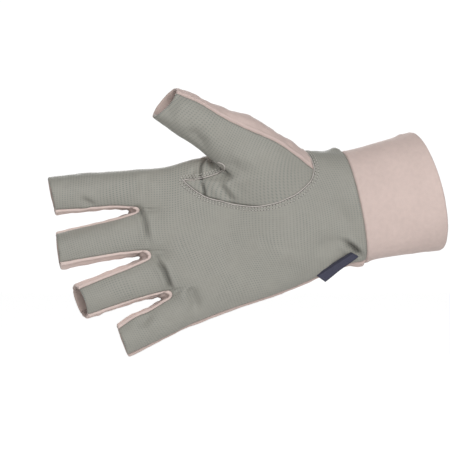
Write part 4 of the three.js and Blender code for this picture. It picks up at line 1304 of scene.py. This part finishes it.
# It is laid on the thumb from this far in front
IN_FRONT = -120
welt_line, welt_up = offset_line(0, WELT_SPACING, CROSSING)
curl_surface = surface_of(thumb_front)
curl_path = np.repeat(WELT_CURL[:, None], CURL_STEPS + 1, axis=1)
curl = []
for x, z in along(curl_path, steps(0, len(WELT_CURL) - 1, CURL_STEPS)):
    place, normal, _, _ = curl_surface.ray_cast(Vector((x, IN_FRONT, z)), Vector((0, 1, 0)))
    if place is not None:
        curl.append(place + normal * WELT_RADIUS)
WELT_EDGE = thread_material("turned_edge", (0.56, 0.52, 0.49, 1), (0.68, 0.63, 0.6, 1), 0.75)
welt_runs = [
    (line, WELT_RADIUS * (1 + WELT_UNEVEN * ripple(line, UNEVEN_LENGTH, 4)))
    for line in (welt_line + welt_up * WELT_LIFT, np.array(curl))
]
welt = tube_mesh("thumb_welt", welt_runs, 8, WELT_EDGE)


# Topstitching: two rows of pale thread just outside the thumb's oval seam, which hold its allowance flat.
# Each stitch is a short thread that dips into the leather at both ends, beside a needle hole whose shade is
# painted as a dark plug.
STITCH_PITCH = 1.65
ROW_DISTANCES = (0.95, 2.3)
THREAD_RADIUS = 0.25
# Along a stitch: the share of its length, how high its middle lies and how thick it is
STITCH_FORM = ((0.0, -0.15, 0.7), (0.18, 0.12, 0.95), (0.5, 0.2, 1.0), (0.82, 0.12, 0.95), (1.0, -0.15, 0.7))
# A stitch runs between these shares of its pitch. Where the line jumps further than this, none is sewn.
STITCH_ENDS = (0.14, 0.86)
LONGEST_STITCH = 1.5 * STITCH_PITCH
# A needle hole's shade is painted as a short dark plug that ends just over the leather: its heights and its
# radii
HOLE_HEIGHTS, HOLE_RADII = (-0.3, 0.02, 0.07), (0.26, 0.26, 0.12)


def stitch_rows():
    """The stitches of both rows, and a dark plug of painted shade in each needle hole, as runs of tube."""
    stitches, hole_shades = [], []
    for distance in ROW_DISTANCES:
        line, up = offset_line(distance, STITCH_PITCH)
        for a, b, normal, following in zip(line, line[1:], up, up[1:]):
            if np.linalg.norm(b - a) > LONGEST_STITCH:
                continue
            start, end = (a + (b - a) * share for share in STITCH_ENDS)
            path = [
                start + (end - start) * share + unit(normal + (following - normal) * share) * rise
                for share, rise, _ in STITCH_FORM
            ]
            stitches.append((path, [THREAD_RADIUS * thick for _, _, thick in STITCH_FORM]))
            hole_shades.append(([a + normal * height for height in HOLE_HEIGHTS], HOLE_RADII))
    return stitches, hole_shades


stitches, hole_shades = stitch_rows()
PALE_THREAD = thread_material("pale_thread", (0.43, 0.415, 0.385, 1), (0.61, 0.58, 0.54, 1), 0.5)
# A near-black thread shader that paints the shade in each needle hole
NEEDLE_HOLE_SHADE = thread_material("needle_hole_shade", (0.08, 0.08, 0.07, 1), (0.13, 0.125, 0.115, 1), 0.9)
tube_mesh("thumb_topstitching", stitches, 6, PALE_THREAD)
tube_mesh("thumb_needle_hole_shades", hole_shades, 6, NEEDLE_HOLE_SHADE)


# Side label: a bare navy tab of woven tape, folded in half and caught in the side seam by the wrist.
# Its two layers part a little towards the fold, and its long edges are woven tighter and darker.
# Its corners are the two ends of its sewn edge and the two ends of its fold, as x, y, z
LABEL_CORNERS = np.array([
    (-41.4, -24.0, -33.6), (-60.3, -19.2, -45.7), (-55.1, -16.2, -49.2), (-37.7, -21.6, -35.6),
])
LABEL_WIDTH = 6.3
LABEL_THICK = 1.0
TAPE_THICK = 0.4
TAPE_LENGTH = 22.4
# Shares of the label's width: the tape starts inside the seam, and its fold starts near the edge
TAPE_START, FOLD_START = -0.1, 0.93
LABEL_CELLS, TAPE_CELLS, FOLD_CELLS = 44, 22, 8
# The long edges are woven tighter: the place, width and height of each ridge
SELVEDGES = ((0.9, 0.035, 0.09), (0.1, 0.04, 0.07))
# The tab's free edge waves along the seam: how high, how many half turns, and where the wave starts
WAVE_HEIGHT, WAVE_HALF_TURNS, WAVE_START = 0.22, 2.4, 0.6
# Its layers part by this share of its thickness in the middle, and are pinched by this much at the seam
PARTING, PINCH, PINCH_WIDTH = 0.105, 0.25, 0.12


def label_profile():
    """The folded tape's section, outside and inside: shares across the label, and depths behind its face."""
    flat = [(share, 0.0) for share in steps(TAPE_START, FOLD_START, TAPE_CELLS)]
    turns = steps(0, math.pi, FOLD_CELLS)[1:-1]
    bend = [(FOLD_START + (1 - FOLD_START) * math.sin(turn), (1 - math.cos(turn)) / 2) for turn in turns]
    outside = flat + bend + [(share, 1.0) for share, _ in flat[::-1]]
    inside = []
    for share, depth in outside:
        towards = TAPE_THICK / LABEL_THICK * (1 - 2 * depth)
        drawn_in = TAPE_THICK / LABEL_WIDTH if share > FOLD_START else 0
        inside.append((share - drawn_in, depth + towards))
    return np.array(outside), np.array(inside)


def label_height(along_label, share, depth):
    """How far a point of the tape stands out: the tab's wave, its selvedges, and its layers that part."""
    wave = WAVE_HEIGHT * math.sin(WAVE_HALF_TURNS * math.pi * along_label + WAVE_START) * max(share, 0) ** 2
    selvedge = sum(height * bell(share - place, width) for place, width, height in SELVEDGES)
    parted = PARTING * (depth - 0.5) * math.sin(math.pi * min(max(share, 0), 1))
    pinch = PINCH * (depth - 0.5) * bell(share, PINCH_WIDTH)
    return wave + (selvedge if depth < 0.5 else -selvedge) - (depth + parted - pinch) * LABEL_THICK


def label_tab():
    """The tab's mesh: the tape's section carried along the seam, and closed at both ends."""
    outside, inside = label_profile()
    a, b, c, d = LABEL_CORNERS
    normal = unit(np.cross(b - a, d - a))
    normal = normal if normal[1] < 0 else -normal
    positions, cloth = [], []
    for u in steps(0, 1, LABEL_CELLS):
        seat, edge = a + (b - a) * u, d + (c - d) * u
        for share, depth in np.concatenate([outside, inside]):
            positions.append(seat + (edge - seat) * share + normal * label_height(u, share, depth))
            cloth.append((u * TAPE_LENGTH, share * LABEL_WIDTH))
    n, ring = len(outside), 2 * len(outside)
    faces = []
    for r in range(LABEL_CELLS):
        for k in range(n - 1):
            p = r * ring + k
            faces.append([p, p + 1, p + 1 + ring, p + ring])
            faces.append([p + n, p + n + ring, p + n + 1 + ring, p + n + 1])
        for k in (0, n - 1):
            p = r * ring + k
            faces.append([p, p + ring, p + ring + n, p + n][:: 1 if k == 0 else -1])
    for r, turned in ((0, -1), (LABEL_CELLS, 1)):
        for k in range(n - 1):
            p = r * ring + k
            faces.append([p, p + 1, p + 1 + n, p + n][::turned])
    return add_piece("side_tab", positions, faces, np.array(cloth))


def twill_group():
    """Slanting ribs of a woven tape, and its two tighter long edges."""
    group, given, result = new_group(
        "tape_twill", {"Cloth": None, "Rib Pitch": 0.5, "Width": 6.3}, ("Ribs", "Edge", "Height")
    )
    parts = add_node(group, "ShaderNodeSeparateXYZ", {0: given["Cloth"]}).outputs
    slant = math_node(group, "ADD", parts["X"], math_node(group, "MULTIPLY", parts["Y"], 1.3))
    turns = math_node(group, "DIVIDE", math_node(group, "MULTIPLY", slant, WAVE_TURN), given["Rib Pitch"])
    ribs = math_node(group, "MULTIPLY", math_node(group, "ADD", math_node(group, "SINE", turns), 1.0), 0.5)
    share = math_node(group, "DIVIDE", math_node(group, "MULTIPLY", parts["Y"], 100.0), given["Width"])
    off = math_node(group, "ABSOLUTE", math_node(group, "SUBTRACT", share, 0.5))
    fuzz = math_node(group, "MULTIPLY", clouds(group, given["Cloth"], 400.0, 2.0), 0.5)
    group.links.new(ribs, result["Ribs"])
    group.links.new(ranged(group, off, (0.34, 0.4), kind="SMOOTHSTEP"), result["Edge"])
    group.links.new(math_node(group, "ADD", ribs, fuzz), result["Height"])
    return group


def label_material():
    material, tree, shader = new_material("navy_tape", {"Specular IOR Level": 0.35, "Sheen Weight": 0.15})
    cloth = add_node(tree, "ShaderNodeUVMap", uv_map="cloth_mm").outputs[0]
    twill = use_group(tree, twill_group(), {"Cloth": cloth, "Rib Pitch": 0.5, "Width": LABEL_WIDTH})
    ribbed = mix_colour(tree, twill["Ribs"], (0.042, 0.042, 0.075, 1), (0.066, 0.068, 0.11, 1))
    edged = mix_colour(tree, twill["Edge"], ribbed, (0.03, 0.03, 0.052, 1))
    rough = ((0.0, 1.5), (0.85, 0.6))
    link_shader(tree, shader, mottled(tree, edged, 0.2), twill["Height"], rough, (0.5, 0.00009))
    return material


label = label_tab()
label.data.materials.append(label_material())
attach(label, "root")
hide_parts("side_label")
